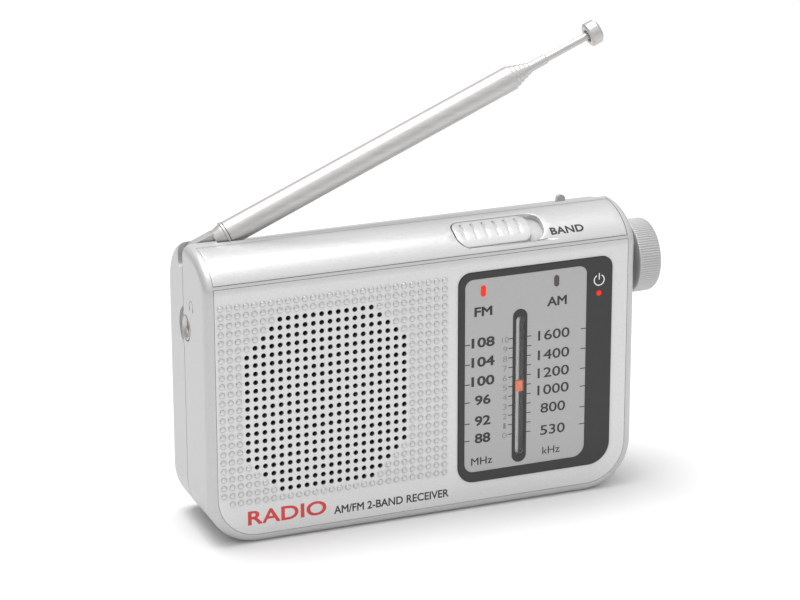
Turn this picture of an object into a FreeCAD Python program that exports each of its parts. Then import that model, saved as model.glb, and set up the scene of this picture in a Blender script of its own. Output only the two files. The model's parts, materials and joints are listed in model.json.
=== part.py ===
import FreeCAD
import Part
import math
import os

import Sketcher
from FreeCAD import Placement, Rotation, Vector

# A two-band pocket radio with a telescopic antenna, in millimetres.
# +X runs along the front from left to right, +Y from the front to the back, +Z up.
# The origin is the centre of the flat underside.

DOC = FreeCAD.newDocument("pocket_radio")
SHEET = DOC.addObject("Spreadsheet::Sheet", "sizes")

DRIVING_SIZES = {
    # outer form of the case
    "body_width": 120.0,
    "body_depth": 31.0,
    "body_height": 77.5,
    "case_wall": 2.6,
    "rim_round": 2.4,
    "corner_round": 13.4,
    "crest_front": -1.2,
    "front_curve_drop": 8.9,
    "rear_curve": 13.0,
    "seam_back": 2.2,
    "seam_groove": 0.3,
    # plates let into the front
    "plate_recess": 1.25,
    "plate_thick": 1.2,
    "plate_gap": 0.1,
    "panel_top": 70.4,
    "bar_rise": 0.7,
    # grille
    "grille_centre": -27.62,
    "grille_height": 37.4,
    "hole_pitch": 2.264,
    "row_pitch": 2.323,
    "hole_radius": 0.68,
    "dot_radius": 0.79,
    "dot_rise": 0.5,
    # dial
    "dial_left": 9.06,
    "dial_right": 52.98,
    "dial_bottom": 7.83,
    "dial_top": 66.4,
    "dial_proud": 0.25,
    "scale_left": 10.87,
    "scale_right": 45.6,
    "scale_bottom": 10.7,
    "scale_top": 64.5,
    "slot_centre": 26.55,
    "slot_width": 4.1,
    "slot_bottom": 11.75,
    "slot_top": 54.8,
    "window_width": 2.5,
    "window_end": 2.1,
    "pointer_height": 3.0,
    "pointer_level": 33.0,
    "rail_radius": 1.2,
    "rail_back": 2.3,
    # tuning gear
    "tuning_depth": -4.3,
    "tuning_height": 61.6,
    "shaft_radius": 2.0,
    "running_gap": 0.06,
    "knob_radius": 9.85,
    "knob_start": 62.0,
    "knob_length": 6.8,
    "drum_radius": 8.6,
    "drum_centre": 19.0,
    "cord_radius": 0.3,
    "idler_radius": 2.5,
    "idler_height": 14.0,
    # band slider
    "band_left": 10.0,
    "band_right": 35.0,
    "band_front": -13.9,
    "band_rear": -5.0,
    "band_button": 21.0,
    # speaker
    "speaker_radius": 26.0,
    "speaker_depth": 11.5,
    # electronics
    "board_front": 5.0,
    "board_thick": 1.6,
    "volume_centre": 53.0,
    "volume_height": 44.0,
    "volume_radius": 8.2,
    "jack_depth": 0.4,
    "jack_height": 55.7,
    "jack_bore": 1.8,
    # battery bay
    "cell_radius": 7.25,
    "cell_length": 50.5,
    "cell_depth": 5.4,
    "lower_cell": 11.0,
    "upper_cell": 25.9,
    "door_left": -3.9,
    "door_right": 50.9,
    "door_bottom": 3.1,
    "door_top": 34.7,
    "door_thick": 1.8,
    "door_gap": 0.3,
    # antenna
    "pivot_across": -55.7,
    "pivot_height": 74.76,
    "antenna_depth": 4.3,
    "antenna_angle": 22.9,
    "tongue_thick": 3.0,
    "tongue_radius": 2.5,
    "tube_start": 9.2,
    "tube_end": 95.6,
    "ring_step": 1.3,
    "channel_floor": 71.0,
    "channel_half": 3.75,
    "channel_start": -51.0,
    "rear_lip": 74.4,
}


def fill_sheet():
    """Write every driving size to the sheet, with its name as the alias."""
    for row, (name, value) in enumerate(DRIVING_SIZES.items(), start=1):
        SHEET.set(f"A{row}", name)
        SHEET.set(f"B{row}", str(value))
        SHEET.setAlias(f"B{row}", name)
    DOC.recompute()


class Size:
    """A size on the sheet or a formula of such sizes: its number and the text that binds it."""

    def __init__(self, number, text):
        self.number = number
        self.text = text

    def __float__(self):
        return self.number

    def __add__(self, other):
        return Size(self.number + float(other), f"({self.text} + {as_text(other)})")

    def __radd__(self, other):
        return Size(float(other) + self.number, f"({as_text(other)} + {self.text})")

    def __sub__(self, other):
        return Size(self.number - float(other), f"({self.text} - {as_text(other)})")

    def __rsub__(self, other):
        return Size(float(other) - self.number, f"({as_text(other)} - {self.text})")

    def __mul__(self, other):
        return Size(self.number * float(other), f"({self.text} * {as_text(other)})")

    __rmul__ = __mul__

    def __truediv__(self, other):
        return Size(self.number / float(other), f"({self.text} / {as_text(other)})")

    def __neg__(self):
        return Size(-self.number, f"(0 - {self.text})")


def as_text(value):
    """The text of a size or plain number inside an expression."""
    return value.text if isinstance(value, Size) else f"({float(value)!r})"


fill_sheet()
S = {name: Size(float(SHEET.get(name)), f"sizes.{name}") for name in DRIVING_SIZES}

NODES = {}
COUNT = {"made": 0}

HALF_WIDTH = S["body_width"] / 2
FRONT = -S["body_depth"] / 2
BACK = S["body_depth"] / 2
INNER_FRONT = FRONT + S["case_wall"]
INNER_BACK = BACK - S["case_wall"]
CREST = S["body_height"]

# Screw bosses of the case and posts of the circuit board: (x, z) of each axis.
CASE_SCREWS = [(-55.2, 24.0), (55.4, 24.0), (-48.0, 64.5), (55.4, 56.0)]
BOARD_POSTS = [(0.6, 66.3), (1.2, 38.5), (54.4, 37.9), (44.0, 67.0)]

TURN = {
    "x": Rotation(Vector(0, 1, 0), 90),
    "y": Rotation(Vector(1, 0, 0), -90),
    "z": Rotation(),
}


# ---------------------------------------------------------------- helpers


def bind(obj, name, value):
    """Set a property, bound to the sheet when the value is a formula of its sizes."""
    if isinstance(value, Size):
        obj.setExpression(name, value.text)
        return
    if "." in name:
        obj.setExpression(name, repr(float(value)))
        return
    setattr(obj, name, float(value))


def place(obj, x, y, z, rotation=Rotation()):
    """Put an object at a point of the frame, with the point bound to the sheet."""
    obj.Placement = Placement(Vector(float(x), float(y), float(z)), rotation)
    for axis, value in (("x", x), ("y", y), ("z", z)):
        if isinstance(value, Size):
            obj.setExpression(f"Placement.Base.{axis}", value.text)
    return obj


def fresh(kind, label="piece"):
    """A new object with a running number in its name."""
    COUNT["made"] += 1
    return DOC.addObject(kind, f"{label}_{COUNT['made']}")


def box(low, high):
    """A block between two corners."""
    obj = fresh("Part::Box", "block")
    for name, start, end in zip(("Length", "Width", "Height"), low, high):
        bind(obj, name, end - start)
    return place(obj, *low)


def rod(start, radius, length, axis="z"):
    """A cylinder from a point along an axis of the frame."""
    obj = fresh("Part::Cylinder", "rod")
    bind(obj, "Radius", radius)
    bind(obj, "Height", length)
    return place(obj, *start, TURN[axis])


def taper(start, radius_start, radius_end, length, axis="z"):
    """A cone from a point along an axis of the frame."""
    obj = fresh("Part::Cone", "taper")
    bind(obj, "Radius1", radius_start)
    bind(obj, "Radius2", radius_end)
    bind(obj, "Height", length)
    return place(obj, *start, TURN[axis])


def solid(shape, label="form"):
    """A shape made with the kernel's own functions, as an object of the document."""
    obj = fresh("Part::Feature", label)
    obj.Shape = shape
    return obj


def joined(*pieces):
    """Several objects as one."""
    if len(pieces) == 1:
        return pieces[0]
    obj = fresh("Part::MultiFuse", "union")
    obj.Shapes = list(pieces)
    return obj


def cut(base, *tools):
    """An object with others taken out of it."""
    obj = fresh("Part::Cut", "cut")
    obj.Base = base
    obj.Tool = joined(*tools)
    return obj


def common(first, second):
    """What two objects share."""
    obj = fresh("Part::MultiCommon", "common")
    obj.Shapes = [first, second]
    return obj


def node(name, obj):
    """Give a finished sub-part its name."""
    obj.Label = name
    NODES[name] = obj
    return obj


def plane_of(body, role):
    return next(item for item in body.Origin.OriginFeatures if item.Role == role)


def new_sketch(body, role):
    sketch = body.newObject("Sketcher::SketchObject", "Sketch")
    sketch.AttachmentSupport = (plane_of(body, role), [""])
    sketch.MapMode = "FlatFace"
    return sketch


def pin_point(sketch, line, end, across, up):
    """Hold one end of a line at a point, with both distances bound to the sheet."""
    for kind, axis, value in (("DistanceX", -2, across), ("DistanceY", -1, up)):
        if abs(float(value)) < 1e-9:
            sketch.addConstraint(Sketcher.Constraint("PointOnObject", line, end, axis))
            continue
        index = sketch.addConstraint(Sketcher.Constraint(kind, -1, 1, line, end, float(value)))
        if isinstance(value, Size):
            name = f"{kind}_{line}"
            sketch.renameConstraint(index, name)
            sketch.setExpression(f"Constraints.{name}", value.text)


def outline(sketch, points):
    """A closed outline of straight lines through the given points."""
    count = len(points)
    for index in range(count):
        start, end = points[index], points[(index + 1) % count]
        sketch.addGeometry(
            Part.LineSegment(
                Vector(float(start[0]), float(start[1]), 0),
                Vector(float(end[0]), float(end[1]), 0),
            ),
            False,
        )
    for index in range(count):
        sketch.addConstraint(Sketcher.Constraint("Coincident", index, 2, (index + 1) % count, 1))
    for index, (across, up) in enumerate(points):
        pin_point(sketch, index, 1, across, up)


def turned(points, origin, axis="x"):
    """A body turned about its own X axis from (along, radius) points, then put in place."""
    body = fresh("PartDesign::Body", "turned")
    sketch = new_sketch(body, "XY_Plane")
    outline(sketch, points)
    turn = body.newObject("PartDesign::Revolution", "Revolution")
    turn.Profile = sketch
    turn.ReferenceAxis = (sketch, ["H_Axis"])
    turn.Angle = 360.0
    sketch.Visibility = False
    rotations = {"x": Rotation(), "y": Rotation(Vector(0, 0, 1), 90), "z": Rotation(Vector(0, 1, 0), -90)}
    return place(body, *origin, rotations[axis])


def padded(points, origin, thickness, corners=()):
    """A plate cut to an outline in the XZ plane and standing back from it, with rounded corners.

    corners gives one radius for each point of the outline, or none for square corners."""
    body = fresh("PartDesign::Body", "plate")
    sketch = new_sketch(body, "XZ_Plane")
    outline(sketch, points)
    pad = body.newObject("PartDesign::Pad", "Pad")
    pad.Profile = sketch
    bind(pad, "Length", thickness)
    pad.Reversed = True
    DOC.recompute()
    last = pad
    for (across, up), radius in zip(points, corners):
        if float(radius) <= 0:
            continue
        fillet = body.newObject("PartDesign::Fillet", "Fillet")
        fillet.Base = (last, [edge_at(last.Shape, float(across), float(up))])
        bind(fillet, "Radius", radius)
        DOC.recompute()
        last = fillet
    return place(body, *origin)


def edge_at(shape, across, up):
    """The name of the edge along Y that stands at a point of the XZ plane."""
    for index, edge in enumerate(shape.Edges, start=1):
        box_of = edge.BoundBox
        straight = box_of.XLength < 1e-6 and box_of.ZLength < 1e-6
        if straight and abs(box_of.XMin - across) < 1e-4 and abs(box_of.ZMin - up) < 1e-4:
            return f"Edge{index}"
    raise ValueError(f"no edge at {across}, {up}")


# ---------------------------------------------------------------- the case's form


def profile_face(inset):
    """The case's outline from the side, drawn in by inset: flat front, long front curve, round back."""
    front = float(FRONT) + inset
    back = float(BACK) - inset
    top = float(CREST) - inset
    bend_y = float(S["crest_front"])
    rise = float(S["front_curve_drop"]) - inset
    bend_z = top - rise
    run = bend_y - front
    round_back = float(S["rear_curve"]) - inset
    low = Vector(0, front, inset)
    bend = Vector(0, front, bend_z)
    crest_start = Vector(0, bend_y, top)
    crest_end = Vector(0, back - round_back, top)
    back_bend = Vector(0, back, top - round_back)
    back_low = Vector(0, back, inset)
    centre = Vector(0, back - round_back, top - round_back)
    middle = centre + Vector(0, round_back, round_back) * math.sqrt(0.5)
    edges = [
        Part.LineSegment(low, bend).toShape(),
        ellipse_arc(bend, crest_start, run, rise),
        Part.LineSegment(crest_start, crest_end).toShape(),
        Part.Arc(crest_end, middle, back_bend).toShape(),
        Part.LineSegment(back_bend, back_low).toShape(),
        Part.LineSegment(back_low, low).toShape(),
    ]
    return Part.Face(Part.Wire(edges))


def ellipse_arc(bend, crest, run, rise):
    """The quarter of an ellipse from the top of the front face to the crest."""
    centre = Vector(0, crest.y, bend.z)
    long_end = centre - Vector(0, run, 0)
    short_end = centre + Vector(0, 0, rise)
    full = Part.Ellipse(long_end, short_end, centre)
    first = full.parameter(long_end)
    last = full.parameter(short_end)
    if last < first:
        last += 2 * math.pi
    return full.toShape(first, last)


def profile_bar(left, right, inset):
    """The side outline drawn in by inset, running from left to right."""
    face = profile_face(inset)
    face.translate(Vector(left, 0, 0))
    return face.extrude(Vector(right - left, 0, 0))


def front_face(inset, top):
    """The case's outline from the front, drawn in by inset, up to a level: round lower corners."""
    half = float(HALF_WIDTH) - inset
    corner = float(S["corner_round"]) - inset
    level = corner + inset
    skew = corner * math.sqrt(0.5)
    left_centre = Vector(corner - half, 0, level)
    right_centre = Vector(half - corner, 0, level)
    edges = [
        Part.LineSegment(Vector(-half, 0, top), Vector(-half, 0, level)).toShape(),
        Part.Arc(
            Vector(-half, 0, level),
            left_centre + Vector(-skew, 0, -skew),
            Vector(corner - half, 0, inset),
        ).toShape(),
        Part.LineSegment(Vector(corner - half, 0, inset), Vector(half - corner, 0, inset)).toShape(),
        Part.Arc(
            Vector(half - corner, 0, inset),
            right_centre + Vector(skew, 0, -skew),
            Vector(half, 0, level),
        ).toShape(),
        Part.LineSegment(Vector(half, 0, level), Vector(half, 0, top)).toShape(),
        Part.LineSegment(Vector(half, 0, top), Vector(-half, 0, top)).toShape(),
    ]
    return Part.Face(Part.Wire(edges))


def front_slab(inset, front, back, top):
    """The front outline drawn in by inset, from one depth to another."""
    face = front_face(inset, top)
    face.translate(Vector(0, front, 0))
    return face.extrude(Vector(0, back - front, 0))


def case_form(inset):
    """The whole case drawn in by inset, with its rim rounded where the inset leaves any round."""
    half = float(HALF_WIDTH) - inset
    bar = profile_bar(-half, half, inset)
    slab = front_slab(inset, float(FRONT), float(BACK), float(CREST) + 5.0)
    form = bar.common(slab)
    radius = float(S["rim_round"]) - inset
    if radius < 0.5:
        return form
    return form.makeFillet(radius, rim_edges(form, half, inset))


def rim_edges(form, half, inset):
    """The edges between the side walls and the front, top and back."""
    corner = float(S["corner_round"]) - inset
    found = []
    for edge in form.Edges:
        middle = edge.valueAt((edge.FirstParameter + edge.LastParameter) / 2)
        on_side = abs(abs(middle.x) - half) < 1e-4
        on_end = abs(abs(middle.y) - (float(BACK) - inset)) < 1e-4
        in_corner = on_end and middle.z < corner + inset - 1e-3
        along_y = abs(edge.BoundBox.YLength) > 1e-3 and edge.BoundBox.ZLength < 1e-6
        on_wall_line = on_side and not (along_y and middle.z < float(CREST) - inset - 1e-3)
        if in_corner or on_wall_line:
            found.append(edge)
    return found


def block(low, high):
    """A kernel block between two corners."""
    spans = [float(end) - float(start) for start, end in zip(low, high)]
    return Part.makeBox(*spans, Vector(*[float(value) for value in low]))


def barrel(x, y, z, radius, length, along):
    """A kernel cylinder from a point."""
    return Part.makeCylinder(float(radius), length, Vector(float(x), float(y), float(z)), along)


ALONG_X = Vector(1, 0, 0)
ALONG_Y = Vector(0, 1, 0)
ALONG_Z = Vector(0, 0, 1)

OUTER = case_form(0.0)
CAVITY = case_form(float(S["case_wall"]))
SIDE = float(HALF_WIDTH)
TOP = float(CREST)
SEAM = float(S["seam_back"])
PANEL_HALF = SIDE - float(S["rim_round"])
BAR_TOP = float(S["panel_top"] + S["bar_rise"])
PLATE_BACK = float(S["crest_front"]) - 0.4
CHANNEL_FRONT = float(S["antenna_depth"] - S["channel_half"])
CHANNEL_BACK = float(S["antenna_depth"] + S["channel_half"])
CHANNEL_WALL = 1.3
SLOT_BACK = float(S["antenna_depth"]) + 1.8
SLOT_FLOOR = 70.8
TURRET_RIGHT = -50.0
TURRET_FLOOR = 67.0
TUNING_Y = float(S["tuning_depth"])
TUNING_Z = float(S["tuning_height"])
SHAFT_HOLE = float(S["shaft_radius"] + S["running_gap"])
PEG_X = 23.6
CLIP_LOW = (47.6, 8.35, 73.6)
CLIP_WIDTH = 2.4
CLIP_THICK = 1.25
BAND_CORNER = 3.2


def channel_space():
    """The room that the folded antenna lies in, open at the right end, and the slot at its root."""
    trough = block(
        (S["channel_start"], CHANNEL_FRONT, S["channel_floor"]), (SIDE + 5, CHANNEL_BACK, TOP + 5)
    )
    lip = block((S["channel_start"], CHANNEL_BACK - 0.5, S["rear_lip"]), (SIDE + 5, float(BACK) + 5, TOP + 5))
    slot_low = SLOT_FLOOR + (SLOT_BACK - SEAM) / 2
    slot = block((-SIDE - 5, SEAM, slot_low), (float(S["channel_start"]) + 0.5, SLOT_BACK, TOP + 5))
    foot = barrel(-SIDE - 5, (SEAM + SLOT_BACK) / 2, slot_low, (SLOT_BACK - SEAM) / 2, 14.5, ALONG_X)
    return trough.fuse([lip, slot, foot])


def antenna_seat():
    """The walls of the antenna channel and the thick corner that holds the antenna's pin."""
    channel = block(
        (TURRET_RIGHT, CHANNEL_FRONT - CHANNEL_WALL, float(S["channel_floor"]) - CHANNEL_WALL),
        (SIDE, CHANNEL_BACK + CHANNEL_WALL, TOP),
    )
    turret = block(
        (-SIDE, CHANNEL_FRONT - CHANNEL_WALL, TURRET_FLOOR), (TURRET_RIGHT, CHANNEL_BACK + CHANNEL_WALL, TOP)
    )
    return channel.fuse(turret).common(OUTER)


def whole_case():
    """Both shells before they are parted: hollow form, antenna seat and everything cut through both."""
    shell = OUTER.cut(CAVITY).fuse(antenna_seat())
    jack_hole = barrel(-SIDE - 1, S["jack_depth"], S["jack_height"], 3.05, 6.0, ALONG_X)
    pin = barrel(S["pivot_across"], 0.6, S["pivot_height"], 1.2, 8.0, ALONG_Y)
    jack_seat = barrel(-SIDE - 1, S["jack_depth"], S["jack_height"], 3.55, 1.5, ALONG_X)
    contact_way = block((-53.9, 2.8, TURRET_FLOOR - 1), (-52.9, 5.6, 72.0))
    return shell.cut([channel_space(), jack_hole, jack_seat, pin, contact_way])


CASE = whole_case()


def front_case():
    """Front shell: recesses for the two plates, dial and speaker openings, bosses and posts."""
    recess = float(S["plate_recess"])
    wall_back = float(INNER_FRONT)
    near = float(FRONT)
    shell = CASE.common(block((-SIDE - 1, near - 1, -1), (SIDE + 1, SEAM, TOP + 1)))
    panel = front_slab(float(S["rim_round"]), near - 1, near + recess, float(S["panel_top"]))
    top_room = profile_bar(-PANEL_HALF, PANEL_HALF, -2.0).cut(profile_bar(-SIDE, SIDE, recess))
    top_room = top_room.common(block((-PANEL_HALF, near - 2, BAR_TOP), (PANEL_HALF, PLATE_BACK, TOP + 3)))
    band_room = band_window(0.0).cut(profile_bar(-SIDE, SIDE, 1.6))
    peg_slot = block((PEG_X - 1.9, -9.4, 70), (PEG_X + 5.2, -6.2, TOP + 1))
    dial_opening = block((12, near, 10.5), (50.6, wall_back + 1, 64))
    drum_notch = block((16.2, near + recess, 60), (21.8, wall_back + 1, 67.6))
    drum_room = barrel(16.2, TUNING_Y, TUNING_Z, 9.7, 5.6, ALONG_X)
    shaft_hole = barrel(SIDE - 6, TUNING_Y, TUNING_Z, SHAFT_HOLE, 10, ALONG_X)
    sound_hole = barrel(S["grille_centre"], near, S["grille_height"], 24.5, 4, ALONG_Y)
    cloth_room = grille_octagon(near + recess, 0.3, 1.3)
    ring = barrel(SIDE - 0.5, TUNING_Y, TUNING_Z, 4.6, 1.7, ALONG_X)
    lips = [
        barrel(x, wall_back - 0.5, z, 2.6, SEAM - wall_back + 0.5, ALONG_Y) for x, z in CASE_SCREWS
    ]
    posts = [
        barrel(x, wall_back - 0.5, z, 2.0, float(S["board_front"]) - wall_back + 0.5, ALONG_Y)
        for x, z in BOARD_POSTS
    ]
    pilots = [barrel(x, -8.0, z, 1.0, SEAM + 8.1, ALONG_Y) for x, z in CASE_SCREWS]
    pilots += [barrel(x, -2.0, z, 0.8, 8.0, ALONG_Y) for x, z in BOARD_POSTS]
    shell = shell.fuse([ring] + lips)
    shell = shell.cut([panel, top_room, band_room, peg_slot, dial_opening, drum_notch, drum_room])
    shell = shell.cut([sound_hole, cloth_room])
    shell = shell.fuse(posts + rail_blocks() + idler_ears() + speaker_ring() + switch_posts())
    return shell.cut(pilots + [shaft_hole] + rail_bores() + [idler_bore()])


def rail_blocks():
    """Two blocks that hold the ends of the pointer rail."""
    left = float(S["slot_centre"]) - 2.1
    right = float(S["slot_centre"]) + 2.1
    front = float(FRONT + S["plate_recess"])
    return [
        block((left, front, 64.0), (right, -11.0, 66.4)),
        block((left, front, 8.0), (right, -11.0, 10.5)),
    ]


def rail_bores():
    """The blind bores for the ends of the pointer rail."""
    depth = float(FRONT + S["rail_back"])
    radius = float(S["rail_radius"])
    return [
        barrel(S["slot_centre"], depth, 63.0, radius, 2.4, ALONG_Z),
        barrel(S["slot_centre"], depth, 9.0, radius, 2.5, ALONG_Z),
    ]


def idler_ears():
    """Two ears that carry the pin of the idler pulley."""
    top = float(S["idler_height"]) + 1.9
    centre = float(S["drum_centre"])
    return [
        block((centre + side - 0.5, -13.9, 8.0), (centre + side + 0.5, -8.6, top)) for side in (-2.3, 2.3)
    ]


def idler_bore():
    return barrel(float(S["drum_centre"]) - 3, idler_y(), S["idler_height"], 0.8, 6, ALONG_X)


def idler_y():
    """Depth of the idler's axis: its front tangent is in line with the drum's."""
    return float(S["tuning_depth"] - S["drum_radius"] + S["idler_radius"])


def speaker_ring():
    """The ring that centres the speaker behind its hole."""
    x, z = float(S["grille_centre"]), float(S["grille_height"])
    back = float(INNER_FRONT)
    radius = float(S["speaker_radius"])
    outer = barrel(x, back - 0.5, z, radius + 1.3, 1.5, ALONG_Y)
    return [outer.cut(barrel(x, back - 1, z, radius + 0.1, 4, ALONG_Y))]


def switch_posts():
    """Two posts under the top wall that hold the band switch."""
    return [barrel(PEG_X + dx, -7.8, 71.4, 0.9, 3.4, ALONG_Z) for dx in (-1.4 - 0.9, 6.0)]


def grille_octagon(front, thickness, grow):
    """A flat octagon behind the perforated part of the grille."""
    centre_x = float(S["grille_centre"])
    centre_z = float(S["grille_height"])
    half_w = 9.5 * float(S["hole_pitch"]) + grow
    half_h = 10 * float(S["row_pitch"]) + grow
    chamfer = 4.0 * float(S["hole_pitch"])
    corners = []
    for sx, sz, flip in ((1, 1, False), (-1, 1, True), (-1, -1, False), (1, -1, True)):
        pair = [(sx * half_w, sz * (half_h - chamfer)), (sx * (half_w - chamfer), sz * half_h)]
        corners += reversed(pair) if flip else pair
    points = [Vector(centre_x + x, front, centre_z + z) for x, z in corners]
    face = Part.Face(Part.makePolygon(points + points[:1]))
    return face.extrude(Vector(0, thickness, 0))


def rear_case():
    """Rear shell: battery bay with its partition, screw bosses, wheel slot, relief round the socket."""
    far = float(BACK)
    wall = float(S["case_wall"])
    groove = OUTER.cut(case_form(1.5)).common(
        block((-SIDE - 1, SEAM, -1), (SIDE + 1, SEAM + float(S["seam_groove"]), TOP + 1))
    )
    shell = CASE.common(block((-SIDE - 1, SEAM, -1), (SIDE + 1, far + 1, TOP + 1)))
    bosses = [barrel(x, SEAM, z, 3.4, far - wall + 0.5 - SEAM, ALONG_Y) for x, z in CASE_SCREWS]
    bosses = [boss.common(OUTER) for boss in bosses]
    shell = shell.fuse(bosses + battery_tray())
    clip_seat = block(CLIP_LOW, (CLIP_LOW[0] + CLIP_WIDTH, CLIP_LOW[1] + CLIP_THICK, TOP))
    shell = shell.cut([groove, battery_opening(), wheel_slot(), jack_relief(), clip_seat])
    holes = [barrel(x, SEAM - 1, z, 1.4, far, ALONG_Y) for x, z in CASE_SCREWS]
    heads = [barrel(x, far - 3.0, z, 2.4, 4.0, ALONG_Y) for x, z in CASE_SCREWS]
    return shell.cut(holes + heads + hinge_holes())


BAY_LEFT = -2.8
BAY_RIGHT = 51.5
BAY_LOW = 3.4
BAY_HIGH = 33.6
BAY_FRONT = -2.2
TRAY_WALL = 1.1


def battery_tray():
    """The walls of the battery bay inside the rear shell."""
    outside = block(
        (BAY_LEFT - TRAY_WALL, BAY_FRONT - TRAY_WALL, BAY_LOW - TRAY_WALL),
        (BAY_RIGHT + TRAY_WALL, float(INNER_BACK) + 0.3, BAY_HIGH + TRAY_WALL),
    )
    inside = block((BAY_LEFT, BAY_FRONT, BAY_LOW), (BAY_RIGHT, float(BACK), BAY_HIGH))
    behind = OUTER.common(block((-SIDE, SEAM, -1), (SIDE, float(BACK) + 1, TOP)))
    room = case_form(float(S["case_wall"]) + 0.15).fuse(behind)
    cord_notch = block((17.6, BAY_FRONT - 2, 31.0), (20.4, BAY_FRONT + 1.0, BAY_HIGH + 3))
    return [outside.cut([inside, cord_notch]).common(room)]


def door_space(grow):
    """The room of the battery door in the back wall."""
    floor = BACK - S["door_thick"] - S["door_gap"]
    return block(
        (float(S["door_left"]) - grow, floor, float(S["door_bottom"]) - grow),
        (float(S["door_right"]) + grow, float(BACK) + 1, float(S["door_top"]) + grow),
    )


def battery_opening():
    """The way through the back wall into the battery bay, and the step that the door closes on."""
    through = block((BAY_LEFT, INNER_BACK - 0.5, BAY_LOW + 0.9), (49.8, float(BACK) + 1, BAY_HIGH))
    return through.fuse(door_space(0.25))


DOOR_AXIS_Y = 14.6
DOOR_AXIS_Z = 4.0


def hinge_holes():
    """Blind holes for the door's hinge pins."""
    return [
        barrel(float(S["door_left"]) - 1.4, DOOR_AXIS_Y, DOOR_AXIS_Z, 0.66, 2.0, ALONG_X),
        barrel(float(S["door_right"]) - 0.6, DOOR_AXIS_Y, DOOR_AXIS_Z, 0.66, 2.0, ALONG_X),
    ]


def wheel_slot():
    """The slot in the right wall that shows the rim of the volume wheel."""
    reach = float(S["volume_radius"]) + 0.6
    x, z = float(S["volume_centre"]), float(S["volume_height"])
    return barrel(x, 8.2, z, reach, 3.6, ALONG_Y)


def jack_relief():
    """The shallow round relief that gives a plug's sleeve room beside the socket's ring."""
    return barrel(-SIDE - 1, S["jack_depth"], S["jack_height"], 5.7, 1.8, ALONG_X)


def build_case():
    node("front_case", solid(front_case()))
    node("rear_case", solid(rear_case()))


# ---------------------------------------------------------------- plates, grille and dial


def grid_point(column, row):
    """Centre of a place in the grille's grid, counted from the middle of the perforated part."""
    x = float(S["grille_centre"]) + (column - 0.5) * float(S["hole_pitch"])
    z = float(S["grille_height"]) - row * float(S["row_pitch"])
    return x, z


def is_hole(column, row):
    """Whether a place in the grid is inside the perforated octagon."""
    cut_in = max(0, abs(row) - 6)
    return abs(row) <= 10 and -9 + cut_in <= column <= 10 - cut_in


def grille_places():
    """Every place in the grid; the one in the rounded lower corner of the plate is left out."""
    return [(c, r) for c in range(-12, 16) for r in range(-12, 12) if (c, r) != (-12, 11)]


def front_plate():
    """Flat front plate: outline inside the rim, dial opening, holes over the speaker, dots around."""
    gap = float(S["plate_gap"])
    near = float(FRONT)
    plate = front_slab(
        float(S["rim_round"]) + gap, near, near + float(S["plate_thick"]), float(S["panel_top"]) - gap
    )
    plate = plate.common(OUTER)
    opening = block(
        (float(S["dial_left"]) - gap, near - 1, float(S["dial_bottom"]) - gap),
        (float(S["dial_right"]) + gap, near + 3, float(S["dial_top"]) + gap),
    )
    plate = plate.cut(round_corners(opening, DIAL_CORNERS))
    holes = []
    dots = []
    for column, row in grille_places():
        x, z = grid_point(column, row)
        if is_hole(column, row):
            holes.append(barrel(x, near - 1, z, S["hole_radius"], 4, ALONG_Y))
        else:
            dots.append(dot(x, near, z))
    return plate.cut(holes).fuse(dots)


def dot(x, front, z):
    """One raised dot: a spherical cap whose foot is sunk a little into the plate."""
    radius = float(S["dot_radius"])
    rise = float(S["dot_rise"])
    ball = (radius * radius + rise * rise) / (2 * rise)
    sunk = 0.1
    cap = Part.makeSphere(ball, Vector(x, front - rise + ball, z))
    return cap.common(block((x - 2, front - 1, z - 2), (x + 2, front + sunk, z + 2)))


DIAL_CORNERS = {"left_low": 4.75, "right_low": 6.1, "left_high": 3.5, "right_high": 3.2}
SCALE_CORNERS = {"left_low": 2.6, "right_low": 3.4, "left_high": 2.3, "right_high": 2.3}


def round_corners(shape, radii):
    """A block with the four edges along Y rounded, each to its own radius."""
    bounds = shape.BoundBox
    places = {
        "left_low": (bounds.XMin, bounds.ZMin),
        "right_low": (bounds.XMax, bounds.ZMin),
        "left_high": (bounds.XMin, bounds.ZMax),
        "right_high": (bounds.XMax, bounds.ZMax),
    }
    for key, radius in radii.items():
        across, up = places[key]
        name = edge_at(shape, across, up)
        shape = shape.makeFillet(radius, [shape.Edges[int(name[4:]) - 1]])
    return shape


def top_plate():
    """Curved plate over the top of the front, with the opening of the band slider."""
    gap = float(S["plate_gap"])
    half = PANEL_HALF - gap
    plate = profile_bar(-half, half, 0.0).cut(profile_bar(-SIDE, SIDE, float(S["plate_thick"])))
    plate = plate.common(block((-half, float(FRONT) - 1, BAR_TOP + gap), (half, PLATE_BACK - gap, TOP + 1)))
    return plate.cut(band_window(0.0))


def band_window(inset):
    """The upright block with round corners that the slider's recess is cut with, drawn in by inset."""
    left, right = float(S["band_left"]) + inset, float(S["band_right"]) - inset
    front, rear = float(S["band_front"]) + inset, float(S["band_rear"]) - inset
    window = block((left, front, BAR_TOP), (right, rear, TOP + 3))
    edges = [edge for edge in window.Edges if edge.BoundBox.ZLength > 1]
    return window.makeFillet(BAND_CORNER - inset, edges)


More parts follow.
